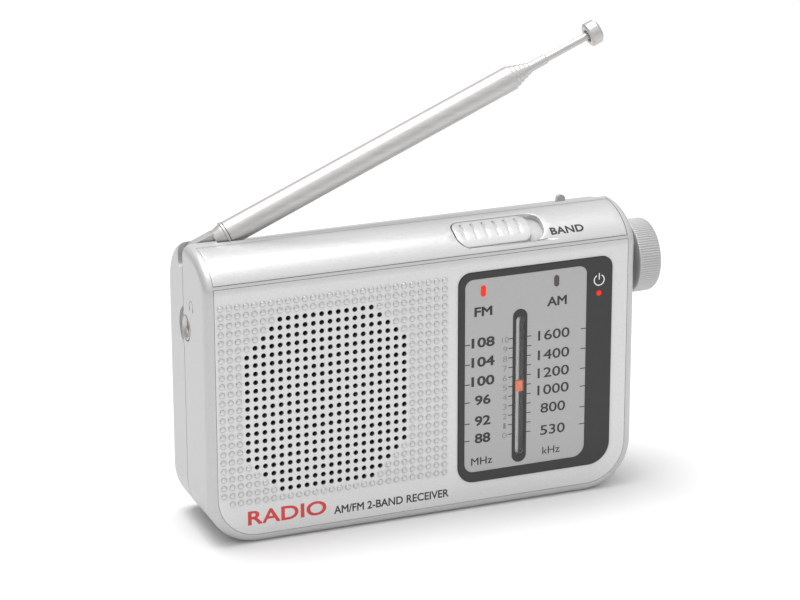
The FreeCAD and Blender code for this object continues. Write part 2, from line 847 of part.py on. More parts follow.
def build_dial():
    """Bezel with its raised slot frame, silver scale plate, window strip, lamps."""
    front = FRONT - S["dial_proud"]
    left, right = S["dial_left"], S["dial_right"]
    low, high = S["dial_bottom"], S["dial_top"]
    outer = [(left, low), (right, low), (right, high), (left, high)]
    corner_order = ("left_low", "right_low", "right_high", "left_high")
    radii = [DIAL_CORNERS[key] for key in corner_order]
    plate = padded(outer, (0, front, 0), S["plate_recess"] + S["dial_proud"], radii)
    s_left, s_right = S["scale_left"], S["scale_right"]
    s_low, s_high = S["scale_bottom"], S["scale_top"]
    scale = [(s_left, s_low), (s_right, s_low), (s_right, s_high), (s_left, s_high)]
    scale_radii = [SCALE_CORNERS[key] for key in corner_order]
    pocket = padded(scale, (0, front - 1, 0), 1.6, scale_radii)
    frame = slot_bar(S["slot_width"], 0, front, front + 1.2)
    window = slot_bar(S["window_width"], S["window_end"], front - 1, front + 4)
    lamps = lamp_holes(front)
    rail_room = rod(
        (S["slot_centre"], FRONT + S["rail_back"], low - 1), S["rail_radius"] + 0.2, high - low + 2
    )
    bezel = cut(joined(cut(plate, pocket), frame), window, rail_room, *lamps)
    node("dial_bezel", bezel)

    inner = padded(scale, (0, front + 0.1, 0), 0.5, scale_radii)
    slot = slot_bar(S["slot_width"], 0, front - 1, front + 4)
    node("dial_plate", cut(inner, slot, *lamp_holes(front)))
    node("dial_window", slot_bar(S["window_width"], S["window_end"], front + 0.2, front + 0.6))
    node("fm_indicator", lamp_bar(FM_LAMP, front - 0.05, front + 1.5))
    node("am_indicator", lamp_bar(AM_LAMP, front - 0.05, front + 1.5))
    power = joined(
        rod((POWER_LAMP[0], front - 0.1, POWER_LAMP[1]), 0.72, 1.6, "y"),
        rod((POWER_LAMP[0], front + 1.5, POWER_LAMP[1]), 1.5, 3.0, "y"),
        box((48.2, front + 4.4, 56.1), (48.7, S["board_front"], 56.6)),
        box((49.6, front + 4.4, 56.1), (50.1, S["board_front"], 56.6)),
    )
    node("power_lamp", power)


FM_LAMP = (16.0, 61.1)
AM_LAMP = (36.9, 61.3)
POWER_LAMP = (49.1, 56.4)
LAMP_WIDTH = 1.36
LAMP_HEIGHT = 3.1


def slot_bar(width, shorten, front, back):
    """A bar with round ends in the pointer slot's place, from one depth to another."""
    half = width / 2
    low = S["slot_bottom"] + shorten + half
    high = S["slot_top"] - shorten - half
    depth = back - front
    return joined(
        box((S["slot_centre"] - half, front, low), (S["slot_centre"] + half, back, high)),
        rod((S["slot_centre"], front, low), half, depth, "y"),
        rod((S["slot_centre"], front, high), half, depth, "y"),
    )


def lamp_bar(place_of, front, back):
    """A small upright bar with round ends: an indicator, or the hole that it fills."""
    x, z = place_of
    half = LAMP_WIDTH / 2
    reach = LAMP_HEIGHT / 2 - LAMP_WIDTH / 2
    return joined(
        box((x - half, front, z - reach), (x + half, back, z + reach)),
        rod((x, front, z - reach), half, back - front, "y"),
        rod((x, front, z + reach), half, back - front, "y"),
    )


def lamp_holes(front):
    """Holes for the two indicators and the power lamp."""
    return [
        lamp_bar(FM_LAMP, front - 1, front + 4),
        lamp_bar(AM_LAMP, front - 1, front + 4),
        rod((POWER_LAMP[0], front - 1, POWER_LAMP[1]), 0.72, 5.0, "y"),
    ]


def build_plates():
    node("front_plate", solid(front_plate()))
    node("top_plate", solid(top_plate()))
    cloth = grille_octagon(float(FRONT + S["plate_recess"]) + 0.02, 0.26, 1.1)
    node("grille_cloth", solid(cloth))


# ---------------------------------------------------------------- tuning gear and pointer


def build_tuning():
    """Shaft, ribbed knob, cord drum, and the capacitor that they turn."""
    y, z = S["tuning_depth"], S["tuning_height"]
    shaft = rod((13.0, y, z), S["shaft_radius"], 53.6, "x")
    node("tuning_shaft", shaft)
    node("tuning_knob", solid(tuning_knob()))
    groove = S["drum_radius"] - S["cord_radius"] - 0.08
    flange = S["drum_radius"] + 0.6
    drum = turned(
        [(-1.6, S["shaft_radius"]), (1.6, S["shaft_radius"]), (1.6, flange), (0.9, flange)]
        + [(0.5, groove), (-0.5, groove), (-0.9, flange), (-1.6, flange)],
        (S["drum_centre"], y, z),
    )
    node("dial_drum", drum)
    half = 7.8
    housing = box((5.0, y - half, z - half), (15.6, y + half, z + half))
    nose = rod((15.6, y, z), 2.8, 1.0, "x")
    bore = rod((12.6, y, z), S["shaft_radius"] + S["running_gap"], 5.0, "x")
    node("variable_capacitor", cut(joined(housing, nose), bore))
    plate = box((15.6, y - 8.0, z - 8.2), (16.6, S["board_front"], z + 7.8))
    foot = box((5.0, S["board_front"] - 1.0, z - 6.0), (16.0, S["board_front"], z + 6.0))
    node("capacitor_bracket", cut(joined(plate, foot), rod((15.0, y, z), 2.8, 3.0, "x")))


RIB_COUNT = 90
KNOB_RIB = 0.26
KNOB_SHOULDER = 4.9


def star_disc(radius, rib, count, length):
    """A disc along X with V-shaped ribs round its edge."""
    points = []
    for index in range(2 * count):
        reach = radius - (rib if index % 2 else 0.0)
        angle = math.pi * index / count
        points.append(Vector(0, reach * math.cos(angle), reach * math.sin(angle)))
    return Part.Face(Part.makePolygon(points + points[:1])).extrude(Vector(length, 0, 0))


def tuning_knob():
    """Ribbed knob with a smooth rounded outer face, hollow behind round its hub."""
    radius = float(S["knob_radius"])
    length = float(S["knob_length"])
    ribbed = star_disc(radius, KNOB_RIB, RIB_COUNT, KNOB_SHOULDER)
    crown = Part.makeCylinder(radius - KNOB_RIB - 0.1, length - KNOB_SHOULDER + 1.0)
    crown = crown.makeFillet(length - KNOB_SHOULDER, [top_circle(crown)])
    crown.rotate(Vector(), ALONG_Y, 90)
    crown.translate(Vector(KNOB_SHOULDER - 1.0, 0, 0))
    hollow = Part.makeCylinder(radius - 2.2, 4.2, Vector(-1, 0, 0), ALONG_X)
    hub = Part.makeCylinder(3.6, 3.7, Vector(), ALONG_X)
    bore = Part.makeCylinder(float(S["shaft_radius"]), 5.6, Vector(-1, 0, 0), ALONG_X)
    knob = ribbed.fuse(crown).cut(hollow).fuse(hub).cut(bore)
    knob.translate(Vector(float(S["knob_start"]), TUNING_Y, TUNING_Z))
    return knob


def top_circle(shape):
    """The round edge at the upper end of an upright cylinder."""
    return max(shape.Edges, key=lambda edge: edge.BoundBox.ZMin)


def build_pointer():
    """Rail, carriage that the cord pulls, and the orange pointer in front of the rail."""
    x = S["slot_centre"]
    rail_y = FRONT + S["rail_back"]
    level = S["pointer_level"]
    half = 1.45
    node("pointer_rail", rod((x, rail_y, 9.0), S["rail_radius"], 56.4))
    cord_y = S["tuning_depth"] - S["drum_radius"]
    tab_half = S["window_width"] / 2 - 0.1
    wrap = box((x - 2.2, rail_y - 1.05, level - half), (x + 2.2, rail_y + 1.8, level + half))
    arm = box((17.8, cord_y - 0.95, level - half), (x - 2.0, cord_y + 0.95, level + half))
    seat = box((x - tab_half, rail_y - 2.0, level - 5), (x + tab_half, rail_y - 0.7, level + 5))
    bore = rod((x, rail_y, level - 5), S["rail_radius"] + S["running_gap"], 10.0)
    cord_bore = rod((S["drum_centre"], cord_y, level - 5), S["cord_radius"] + 0.1, 10.0)
    node("pointer_carriage", cut(joined(wrap, arm), seat, bore, cord_bore))
    tab = box(
        (x - tab_half, FRONT + 0.45, level - S["pointer_height"] / 2 + 0.05),
        (x + tab_half, rail_y - 0.7, level + S["pointer_height"] / 2 - 0.05),
    )
    node("pointer", cut(tab, rod((x, rail_y, level - 5), S["rail_radius"] + S["running_gap"], 10.0)))


def cord_loop():
    """The cord's closed path round the drum and the idler, in the drum's plane."""
    x = float(S["drum_centre"])
    drum_r, idler_r = float(S["drum_radius"]), float(S["idler_radius"])
    drum = Vector(x, TUNING_Y, TUNING_Z)
    idler = Vector(x, idler_y(), float(S["idler_height"]))
    line = idler - drum
    tilt = math.asin((drum_r - idler_r) / line.Length)
    heading = math.atan2(line.z, line.y)
    normal = heading + math.pi / 2 - tilt
    back = Vector(0, math.cos(normal), math.sin(normal))
    front = Vector(0, -1, 0)
    drum_top = Vector(0, 0, 1)
    idler_low = Vector(0, 0, -1)
    back_drum, back_idler = drum + back * drum_r, idler + back * idler_r
    front_drum, front_idler = drum + front * drum_r, idler + front * idler_r
    path = Part.Wire(
        [
            Part.LineSegment(front_idler, front_drum).toShape(),
            Part.Arc(front_drum, drum + drum_top * drum_r, back_drum).toShape(),
            Part.LineSegment(back_drum, back_idler).toShape(),
            Part.Arc(back_idler, idler + idler_low * idler_r, front_idler).toShape(),
        ]
    )
    section = Part.Wire(Part.makeCircle(float(S["cord_radius"]), front_idler, ALONG_Z))
    return path.makePipeShell([section], True, False)


def build_cord():
    """Dial cord, idler pulley and its pin."""
    node("dial_cord", solid(cord_loop()))
    groove = S["idler_radius"] - S["cord_radius"] - 0.08
    flange = S["idler_radius"] + 0.5
    bore = 0.8 + S["running_gap"]
    pulley = turned(
        [(-1.2, bore), (1.2, bore), (1.2, flange), (0.8, flange), (0.4, groove)]
        + [(-0.4, groove), (-0.8, flange), (-1.2, flange)],
        (S["drum_centre"], S["tuning_depth"] - S["drum_radius"] + S["idler_radius"], S["idler_height"]),
    )
    node("idler_pulley", pulley)
    pin_y = S["tuning_depth"] - S["drum_radius"] + S["idler_radius"]
    node("idler_pin", rod((S["drum_centre"] - 2.8, pin_y, S["idler_height"]), 0.8, 5.6, "x"))


# ---------------------------------------------------------------- band slider and switch


def band_slider():
    """Slider that follows the curved top, with six grip grooves and a peg below."""
    gap = 0.35
    left = float(S["band_left"]) + gap
    skin = profile_bar(left - 1, left + 40, 0.1).cut(profile_bar(left - 2, left + 41, 1.3))
    shift = float(S["band_right"] - S["band_left"] - S["band_button"]) - 2 * gap
    right_end = band_window(gap)
    right_end.translate(Vector(-shift, 0, 0))
    button = skin.common(band_window(gap)).common(right_end)
    for index in range(6):
        x = left + 2.65 + 3.08 * index
        for half, depth in ((0.42, 0.3), (0.2, 0.55)):
            tool = block((x - half, -11.9, 60), (x + half, -6.5, TOP + 1))
            button = button.cut(tool.cut(profile_bar(x - 1, x + 1, depth)))
    peg = block((PEG_X - 1.4, -9.0, 72.4), (PEG_X + 1.4, -6.6, 76.0)).common(profile_bar(0, 40, 1.0))
    return button.fuse(peg).cut(block((PEG_X - 0.6, -8.5, 71), (PEG_X + 0.6, -7.1, 73.4)))


def build_band():
    node("band_slider", solid(band_slider()))
    lever = box((PEG_X - 0.6, -8.5, 70.0), (PEG_X + 0.6, -7.1, 73.4))
    node("switch_lever", lever)
    body = box((PEG_X - 1.8, -10.4, 66.6), (PEG_X + 6.8, -5.2, 71.4))
    slot = box((PEG_X - 0.9, -8.8, 69.7), (PEG_X + 4.2, -6.8, 72))
    pins = [box((PEG_X - 0.8 + 2.4 * i, -8.0, 63.9), (PEG_X - 0.4 + 2.4 * i, -7.6, 66.6)) for i in range(3)]
    node("band_switch", joined(cut(body, slot), *pins))


# ---------------------------------------------------------------- speaker


def build_speaker():
    """Basket with four windows, paper cone with its dust cap, magnet, and three clamps."""
    x, z = S["grille_centre"], S["grille_height"]
    origin = (x, INNER_FRONT, z)
    rim = S["speaker_radius"]
    depth = S["speaker_depth"]
    basket = turned(
        [(0.0, rim - 3.4), (0.0, rim), (1.2, rim), (1.2, rim - 2.6)]
        + [(depth, 11.6), (depth, 5.2), (depth - 1.0, 5.2), (depth - 1.0, 11.0), (1.0, rim - 3.4)],
        origin,
        "y",
    )
    windows = [
        box((x - 3.4, INNER_FRONT + 3.2, z + 13.0), (x + 3.4, INNER_FRONT + depth - 2.2, z + 24.0)),
        box((x - 3.4, INNER_FRONT + 3.2, z - 24.0), (x + 3.4, INNER_FRONT + depth - 2.2, z - 13.0)),
        box((x + 13.0, INNER_FRONT + 3.2, z - 3.4), (x + 24.0, INNER_FRONT + depth - 2.2, z + 3.4)),
        box((x - 24.0, INNER_FRONT + 3.2, z - 3.4), (x - 13.0, INNER_FRONT + depth - 2.2, z + 3.4)),
    ]
    node("speaker_frame", cut(basket, *windows))
    cone = turned(
        [(0.2, rim - 3.6), (0.9, rim - 4.6), (0.3, rim - 5.6), (7.6, 6.2), (6.0, 4.0), (5.4, 0.0)]
        + [(5.8, 0.0), (6.4, 4.0), (8.2, 6.4), (0.8, rim - 5.4), (1.3, rim - 4.6), (0.6, rim - 3.5)],
        origin,
        "y",
    )
    node("speaker_cone", cone)
    magnet = turned(
        [(depth, 0.0), (depth, 13.0), (depth + 5.0, 13.0), (depth + 5.0, 11.0)]
        + [(depth + 6.2, 11.0), (depth + 6.2, 0.0)],
        origin,
        "y",
    )
    node("speaker_magnet", magnet)
    node("speaker_clamps", joined(*[speaker_clamp(angle) for angle in (60.0, 180.0, 300.0)]))


def speaker_clamp(angle):
    """One screwed clamp over the speaker's rim."""
    reach = float(S["speaker_radius"]) + 1.4
    x = float(S["grille_centre"]) + reach * math.cos(math.radians(angle))
    z = float(S["grille_height"]) + reach * math.sin(math.radians(angle))
    back = INNER_FRONT + 1.2
    return joined(
        rod((x, back, z), 2.2, 0.8, "y"),
        rod((x, back + 0.8, z), 1.3, 0.9, "y"),
    )


# ---------------------------------------------------------------- electronics


def build_board():
    """Circuit board with its screws and the parts that stand on it."""
    front = S["board_front"]
    back = front + S["board_thick"]
    sheet = box((-3.0, front, 36.0), (56.6, back, 68.8))
    notches = [box((51.4, front - 1, 52.2), (57.0, back + 1, 59.8))]
    holes = [rod((x, front - 1, z), 1.1, 5.0, "y") for x, z in BOARD_POSTS]
    node("circuit_board", cut(sheet, *notches, *holes))
    screws = []
    for x, z in BOARD_POSTS:
        screws += [rod((x, -1.0, z), 0.8, 7.6, "y"), rod((x, back, z), 1.6, 1.1, "y")]
    node("board_screws", joined(*screws))
    cans = [box((x, front - 7.5, z), (x + 7.0, front, z + 7.0)) for x, z in ((22, 50), (31, 50), (40, 50))]
    node("if_cans", joined(*cans))
    chip = [box((26, front - 2.6, 39.2), (44, front - 0.4, 45.8))]
    legs = [box((27 + 2.0 * i, front - 1.2, 38.4), (27.5 + 2.0 * i, front, 39.4)) for i in range(8)]
    legs += [box((27 + 2.0 * i, front - 1.2, 45.6), (27.5 + 2.0 * i, front, 46.6)) for i in range(8)]
    node("receiver_chip", joined(*(chip + legs)))
    drums = [rod((x, front - 9.0, z), 2.5, 9.0, "y") for x, z in ((6.0, 42.0), (13.0, 42.0), (13.0, 49.0))]
    node("electrolytic_capacitors", joined(*drums))
    small = []
    for index in range(6):
        x = 8.0 + 6.0 * index
        small.append(box((x, back, 42.0), (x + 3.2, back + 1.6, 43.8)))
        small.append(box((x, back, 58.0), (x + 1.8, back + 1.6, 61.2)))
    node("small_parts", joined(*small))


def build_ferrite():
    """Ferrite rod antenna under the top wall, its coil, and two holders."""
    y, z = -6.6, 67.3
    node("ferrite_rod", rod((-42.0, y, z), 4.0, 38.0, "x"))
    coil = rod((-38.0, y, z), 4.7, 14.0, "x")
    node("antenna_coil", cut(coil, rod((-39.0, y, z), 4.0, 16.0, "x")))
    holders = []
    for x in (-21.0, -9.0):
        saddle = box((x, INNER_FRONT, z - 3.0), (x + 2.6, y, z + 1.0))
        ring = rod((x, y, z), 5.2, 2.6, "x")
        holders.append(cut(joined(saddle, ring), rod((x - 1, y, z), 4.0, 5.0, "x")))
    node("ferrite_holders", joined(*holders))


def build_volume():
    """Volume control on the back of the board, and its wheel."""
    x, z = S["volume_centre"], S["volume_height"]
    back = S["board_front"] + S["board_thick"]
    body = rod((x, back, z), 4.4, 1.4, "y")
    stem = rod((x, back, z), 1.6, 5.6, "y")
    node("volume_control", joined(body, stem))
    node("volume_wheel", solid(volume_wheel()))


def volume_wheel():
    """Thin ribbed wheel that turns on the volume control's stem."""
    disc = star_disc(float(S["volume_radius"]), 0.3, 48, 2.8)
    disc.rotate(Vector(), ALONG_Z, 90)
    disc.translate(Vector(float(S["volume_centre"]), 8.6, float(S["volume_height"])))
    bore = 1.6 + float(S["running_gap"])
    return disc.cut(barrel(S["volume_centre"], 8.0, S["volume_height"], bore, 5, ALONG_Y))


def build_jack():
    """Headphone socket: plastic body inside and bright ring in the wall."""
    y, z = S["jack_depth"], S["jack_height"]
    body = box((-57.0, y - 3.6, z - 4.0), (-46.0, y + 3.6, z + 4.0))
    bore = rod((-58.0, y, z), S["jack_bore"], 10.0, "x")
    node("headphone_jack", cut(body, bore))
    ring = turned(
        [(-0.15, 2.75), (0.65, S["jack_bore"]), (2.95, S["jack_bore"]), (2.95, 3.0), (0.5, 3.0)]
        + [(0.5, 3.35), (0.1, 3.35), (-0.15, 3.1)],
        (-HALF_WIDTH, y, z),
    )
    node("jack_ring", ring)


# ---------------------------------------------------------------- power


def cell(left, height, points_right):
    """One AA cell as a turned form with its raised button at one end."""
    length = S["cell_length"]
    radius = S["cell_radius"]
    button = 1.2
    profile = [(0.0, 0.0), (0.0, radius - 0.5), (0.4, radius), (length - button - 0.4, radius)]
    profile += [(length - button, radius - 0.5), (length - button, 2.75), (length, 2.75), (length, 0.0)]
    if not points_right:
        profile = [(length - along, reach) for along, reach in profile]
    return turned(profile, (left, S["cell_depth"], height))


def spring(x, height, direction):
    """A conical contact spring with its end plate."""
    coil = Part.makeHelix(0.75, 2.3, 3.2, 12.0)
    start = coil.Edges[0].valueAt(coil.Edges[0].FirstParameter)
    section = Part.Wire(Part.makeCircle(0.25, start, Vector(0, 1, 0)))
    wire = Part.Wire(coil).makePipeShell([section], True, True)
    wire.rotate(Vector(), Vector(0, 1, 0), 90 * direction)
    wire.translate(Vector(x, float(S["cell_depth"]), height))
    return wire


def build_power():
    """Two cells side by side, their contacts, and the door over them."""
    low, high = S["lower_cell"], S["upper_cell"]
    node("battery_cells", joined(cell(0.5, low, True), cell(-2.4, high, False)))
    y = S["cell_depth"]
    node(
        "battery_plates",
        joined(
            box((BAY_LEFT, y - 4, high - 4), (BAY_LEFT + 0.35, y + 4, high + 4)),
            box((BAY_RIGHT - 0.35, y - 4, low - 4), (BAY_RIGHT, y + 4, low + 4)),
            box((BAY_LEFT, y - 4, low - 4), (BAY_LEFT + 0.35, y + 4, low + 4)),
            box((BAY_RIGHT - 0.35, y - 4, high - 4), (BAY_RIGHT, y + 4, high + 4)),
        ),
    )
    springs = [
        solid(spring(BAY_LEFT + 0.62, float(low), 1)),
        solid(spring(BAY_RIGHT - 0.62, float(high), -1)),
    ]
    node("battery_springs", joined(*springs))
    node("battery_door", solid(battery_door()))


def battery_door():
    """Door over the battery bay: round hinge edge below, pins at its ends, catch above."""
    left, right = float(S["door_left"]), float(S["door_right"])
    front = float(BACK - S["door_thick"])
    far = float(BACK)
    panel = block((left, front, DOOR_AXIS_Z), (right, far, float(S["door_top"])))
    hinge = barrel(left, DOOR_AXIS_Y, DOOR_AXIS_Z, far - DOOR_AXIS_Y, right - left, ALONG_X)
    panel = panel.fuse(hinge)
    grips = [block((18 + 2.0 * i, far - 0.4, 30.0), (19 + 2.0 * i, far + 1, 33.4)) for i in range(6)]
    pins = [
        barrel(left - 1.1, DOOR_AXIS_Y, DOOR_AXIS_Z, 0.6, 1.4, ALONG_X),
        barrel(right - 0.3, DOOR_AXIS_Y, DOOR_AXIS_Z, 0.6, 1.4, ALONG_X),
    ]
    catch = block((20.0, front - 1.6, 32.2), (27.0, front + 0.1, 33.2))
    return panel.cut(grips).fuse(pins + [catch])


def build_screws():
    """The four screws that hold the shells together."""
    screws = []
    for x, z in CASE_SCREWS:
        head = rod((x, BACK - 3.0, z), 2.1, 1.5, "y")
        shank = rod((x, -6.0, z), 1.0, BACK + 3.2, "y")
        cross = joined(
            box((x - 1.3, BACK - 2.1, z - 0.25), (x + 1.3, BACK, z + 0.25)),
            box((x - 0.25, BACK - 2.1, z - 1.3), (x + 0.25, BACK, z + 1.3)),
        )
        screws.append(cut(joined(head, shank), cross))
    node("case_screws", joined(*screws))


# ---------------------------------------------------------------- antenna


def antenna_placement():
    """Where the antenna's own X axis starts and how it is tilted."""
    point = Vector(float(S["pivot_across"]), float(S["antenna_depth"]), float(S["pivot_height"]))
    return Placement(point, Rotation(Vector(0, 1, 0), -float(S["antenna_angle"])))


def aim(obj):
    """Put an object made along the antenna's own X axis in place, tilt and all."""
    obj.Placement = antenna_placement()
    obj.setExpression("Placement.Base.x", S["pivot_across"].text)
    obj.setExpression("Placement.Base.y", S["antenna_depth"].text)
    obj.setExpression("Placement.Base.z", S["pivot_height"].text)
    return obj


SECTION_RADII = [3.4, 2.97, 2.54, 2.11, 1.7, 1.34, 1.05]
SECTION_PULL = [0.0, 0.0, 0.0, 0.0, 0.0, 4.0]
CAP_START = 118.8
CAP_LENGTH = 3.8


def antenna_section(index):
    """One tube of the antenna: section 0 is the outer one. Its open end is drawn in a little."""
    radius = SECTION_RADII[index]
    bore = SECTION_RADII[index + 1] + S["running_gap"]
    pull = SECTION_PULL[index]
    end = S["tube_end"] + S["ring_step"] * index + pull
    start = S["tube_start"] if index == 0 else S["tube_start"] + 1.0 + index * 1.2 + pull
    nose = 0.45
    return turned(
        [(start, bore), (start, radius), (end - nose, radius), (end, radius - 0.2), (end, bore)],
        (0, 0, 0),
    )


def build_antenna():
    """Tongue and plug on the pin, collar, six tubes, rod and tip cap."""
    flat = S["tongue_thick"] / 2
    reach = S["tongue_radius"]
    tongue = box((0, -flat, -reach), (6.0, flat, reach))
    eye = rod((0, -flat, 0), reach, S["tongue_thick"], "y")
    plug = taper((5.4, 0, 0), 2.5, 3.25, 2.8, "x")
    neck = rod((8.0, 0, 0), 2.85, 2.8, "x")
    bore = rod((0, -5, 0), 1.2 + 0.05, 10.0, "y")
    node("antenna_plug", aim(cut(joined(tongue, eye, plug, neck), bore)))
    collar = turned([(8.2, 2.85), (8.2, 3.4), (8.4, 3.6), (8.85, 3.6), (9.05, 3.4), (9.05, 2.85)], (0, 0, 0))
    node("antenna_collar", aim(collar))
    for index in range(6):
        name = "antenna_tube" if index == 0 else f"antenna_section_{index + 1}"
        node(name, aim(antenna_section(index)))
    rod_start = S["tube_start"] + 24.6
    rod_end = CAP_START + 1.5
    rod_radius = SECTION_RADII[6]
    thin = turned(
        [(rod_start, 0.0), (rod_start, rod_radius), (rod_end, rod_radius), (rod_end, 0.0)], (0, 0, 0)
    )
    node("antenna_rod", aim(thin))
    cap_radius = 3.3
    hollow = CAP_START + 1.1
    cap = turned(
        [(rod_end, 0.0), (rod_end, rod_radius), (hollow, rod_radius), (hollow, 1.6)]
        + [(CAP_START + 0.2, 1.7), (CAP_START, 2.0), (CAP_START, 2.8), (CAP_START + 0.4, cap_radius)]
        + [(CAP_START + CAP_LENGTH - 0.9, cap_radius), (CAP_START + CAP_LENGTH - 0.2, 2.5)]
        + [(CAP_START + CAP_LENGTH, 1.6), (CAP_START + CAP_LENGTH, 0.0)],
        (0, 0, 0),
    )
    node("antenna_cap", aim(cap))
    pin = rod((S["pivot_across"], 0.6, S["pivot_height"]), 1.2, 8.0, "y")
    node("antenna_pin", pin)
    leaf = box((-58.0, 3.0, 71.6), (-53.2, 5.4, 71.9))
    leg = box((-53.5, 3.0, 66.2), (-53.2, 5.4, 71.9))
    node("antenna_contact", joined(leaf, leg))
    left, front, low = CLIP_LOW
    post = box(CLIP_LOW, (left + CLIP_WIDTH, front + CLIP_THICK, low + 1.8))
    tip = rod((left + CLIP_WIDTH / 2, front, low + 1.8), CLIP_WIDTH / 2, CLIP_THICK, "y")
    node("antenna_clip", joined(post, tip))


# ---------------------------------------------------------------- build, check, write


def failed_objects():
    """Names of the objects that did not recompute."""
    return [item.Name for item in DOC.Objects if "Invalid" in item.State or "Error" in item.State]


def check_nodes():
    """Stop unless every sub-part has a sound, closed shape."""
    failed = failed_objects()
    if failed:
        raise RuntimeError(f"not recomputed: {failed}")
    for name, obj in NODES.items():
        shape = obj.Shape
        if shape.isNull() or not shape.isValid() or not shape.Solids:
            raise RuntimeError(f"{name} has no sound solid")


def write_parts():
    os.makedirs("parts", exist_ok=True)
    for name, obj in NODES.items():
        obj.Shape.exportStep(f"parts/{name}.step")


def main():
    build_case()
    build_plates()
    build_dial()
    build_tuning()
    build_pointer()
    build_cord()
    build_band()
    build_speaker()
    build_board()
    build_ferrite()
    build_volume()
    build_jack()
    build_power()
    build_screws()
    build_antenna()
    DOC.recompute()
    check_nodes()
    write_parts()
    print(len(NODES), "sub-parts written")


main()
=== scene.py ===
import json
import math

import bmesh
import bpy
from mathutils import Matrix, Vector


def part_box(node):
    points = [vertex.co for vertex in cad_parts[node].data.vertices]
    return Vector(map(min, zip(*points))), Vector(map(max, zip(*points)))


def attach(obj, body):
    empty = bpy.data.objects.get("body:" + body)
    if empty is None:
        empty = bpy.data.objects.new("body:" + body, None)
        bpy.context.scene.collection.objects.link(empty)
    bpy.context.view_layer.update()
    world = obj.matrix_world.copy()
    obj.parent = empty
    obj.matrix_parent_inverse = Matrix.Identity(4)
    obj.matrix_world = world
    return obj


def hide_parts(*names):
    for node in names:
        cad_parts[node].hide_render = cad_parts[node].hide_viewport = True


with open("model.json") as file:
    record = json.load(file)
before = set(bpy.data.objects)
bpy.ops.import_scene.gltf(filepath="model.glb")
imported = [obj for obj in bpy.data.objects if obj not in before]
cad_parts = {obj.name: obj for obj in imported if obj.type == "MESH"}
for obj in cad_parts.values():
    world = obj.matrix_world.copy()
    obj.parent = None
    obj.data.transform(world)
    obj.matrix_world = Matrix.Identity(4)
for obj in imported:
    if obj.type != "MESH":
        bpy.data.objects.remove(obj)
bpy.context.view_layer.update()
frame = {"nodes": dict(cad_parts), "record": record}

MM = 0.001
NODES = frame["nodes"]
SLOTS = {item["node"]: item["material_slot"] for item in frame["record"]["subparts"]}


# ---------------------------------------------------------------- materials

NOISE_LOW, NOISE_HIGH = 0.3, 0.7  # nearly all the values of a noise texture lie between these


class Shader:
    """A material with a Principled shader, built up from procedural nodes.

    Texture scales are counted per metre.
    """

    def __init__(self, name):
        self.material = bpy.data.materials.new(name)
        self.material.use_nodes = True
        self.tree = self.material.node_tree
        self.main = self.tree.nodes["Principled BSDF"]
        coordinates = self.tree.nodes.new("ShaderNodeTexCoord")
        self.place = coordinates.outputs["Object"]
        self.relief = None

    def set(self, **values):
        """Give inputs of the Principled shader a fixed value."""
        for key, value in values.items():
            self.main.inputs[key.replace("_", " ")].default_value = value
        return self

    def texture(self, kind, scale, stretch=(1, 1, 1)):
        """A texture node on the object's coordinates, finer along an axis with a larger stretch."""
        mapping = self.tree.nodes.new("ShaderNodeMapping")
        mapping.inputs["Scale"].default_value = stretch
        self.tree.links.new(self.place, mapping.inputs["Vector"])
        node = self.tree.nodes.new(kind)
        node.inputs["Scale"].default_value = scale
        self.tree.links.new(mapping.outputs["Vector"], node.inputs["Vector"])
        return node

    def noise(self, scale, detail=3.0, rough=0.5, stretch=(1, 1, 1)):
        """A noise texture's value."""
        node = self.texture("ShaderNodeTexNoise", scale, stretch)
        node.inputs["Detail"].default_value = detail
        node.inputs["Roughness"].default_value = rough
        return node.outputs["Fac"]

    def cells(self, scale):
        """A random colour for each cell of a cell texture."""
        return self.texture("ShaderNodeTexVoronoi", scale).outputs["Color"]

    def tint(self, source, dark, light):
        """The base colour runs between two colours with the source."""
        ramp = self.tree.nodes.new("ShaderNodeValToRGB")
        first, last = ramp.color_ramp.elements
        first.position, last.position = NOISE_LOW, NOISE_HIGH
        first.color, last.color = (*dark, 1), (*light, 1)
        self.tree.links.new(source, ramp.inputs["Fac"])
        self.tree.links.new(ramp.outputs["Color"], self.main.inputs["Base Color"])
        return self

    def gloss(self, source, low, high):
        """The roughness runs from low to high with the source."""
        node = self.tree.nodes.new("ShaderNodeMapRange")
        node.inputs["From Min"].default_value = NOISE_LOW
        node.inputs["From Max"].default_value = NOISE_HIGH
        node.inputs["To Min"].default_value = low
        node.inputs["To Max"].default_value = high
        self.tree.links.new(source, node.inputs["Value"])
        self.tree.links.new(node.outputs["Result"], self.main.inputs["Roughness"])
        return self

    def bump(self, source, height, strength):
        """Relief from the source, height in millimetres, on top of the relief so far."""
        node = self.tree.nodes.new("ShaderNodeBump")
        node.inputs["Distance"].default_value = height * MM
        node.inputs["Strength"].default_value = strength
        self.tree.links.new(source, node.inputs["Height"])
        if self.relief is not None:
            self.tree.links.new(self.relief, node.inputs["Normal"])
        self.relief = node.outputs["Normal"]
        self.tree.links.new(self.relief, self.main.inputs["Normal"])
        return self

    def shade_crevices(self, reach):
        """Painted shade: darken the base colour where other surfaces stand closer than reach, in
        millimetres.
        """
        colour = self.main.inputs["Base Color"].links[0].from_socket
        nearby = self.tree.nodes.new("ShaderNodeAmbientOcclusion")
        nearby.samples = 8
        nearby.inputs["Distance"].default_value = reach * MM
        self.tree.links.new(colour, nearby.inputs["Color"])
        self.tree.links.new(nearby.outputs["Color"], self.main.inputs["Base Color"])
        return self


def grey(value, warm=0.0):
    """A grey, with more red and less blue the warmer it is."""
    return (value * (1 + warm), value, value * (1 - warm))


def shade(colour, factor):
    return tuple(channel * factor for channel in colour)


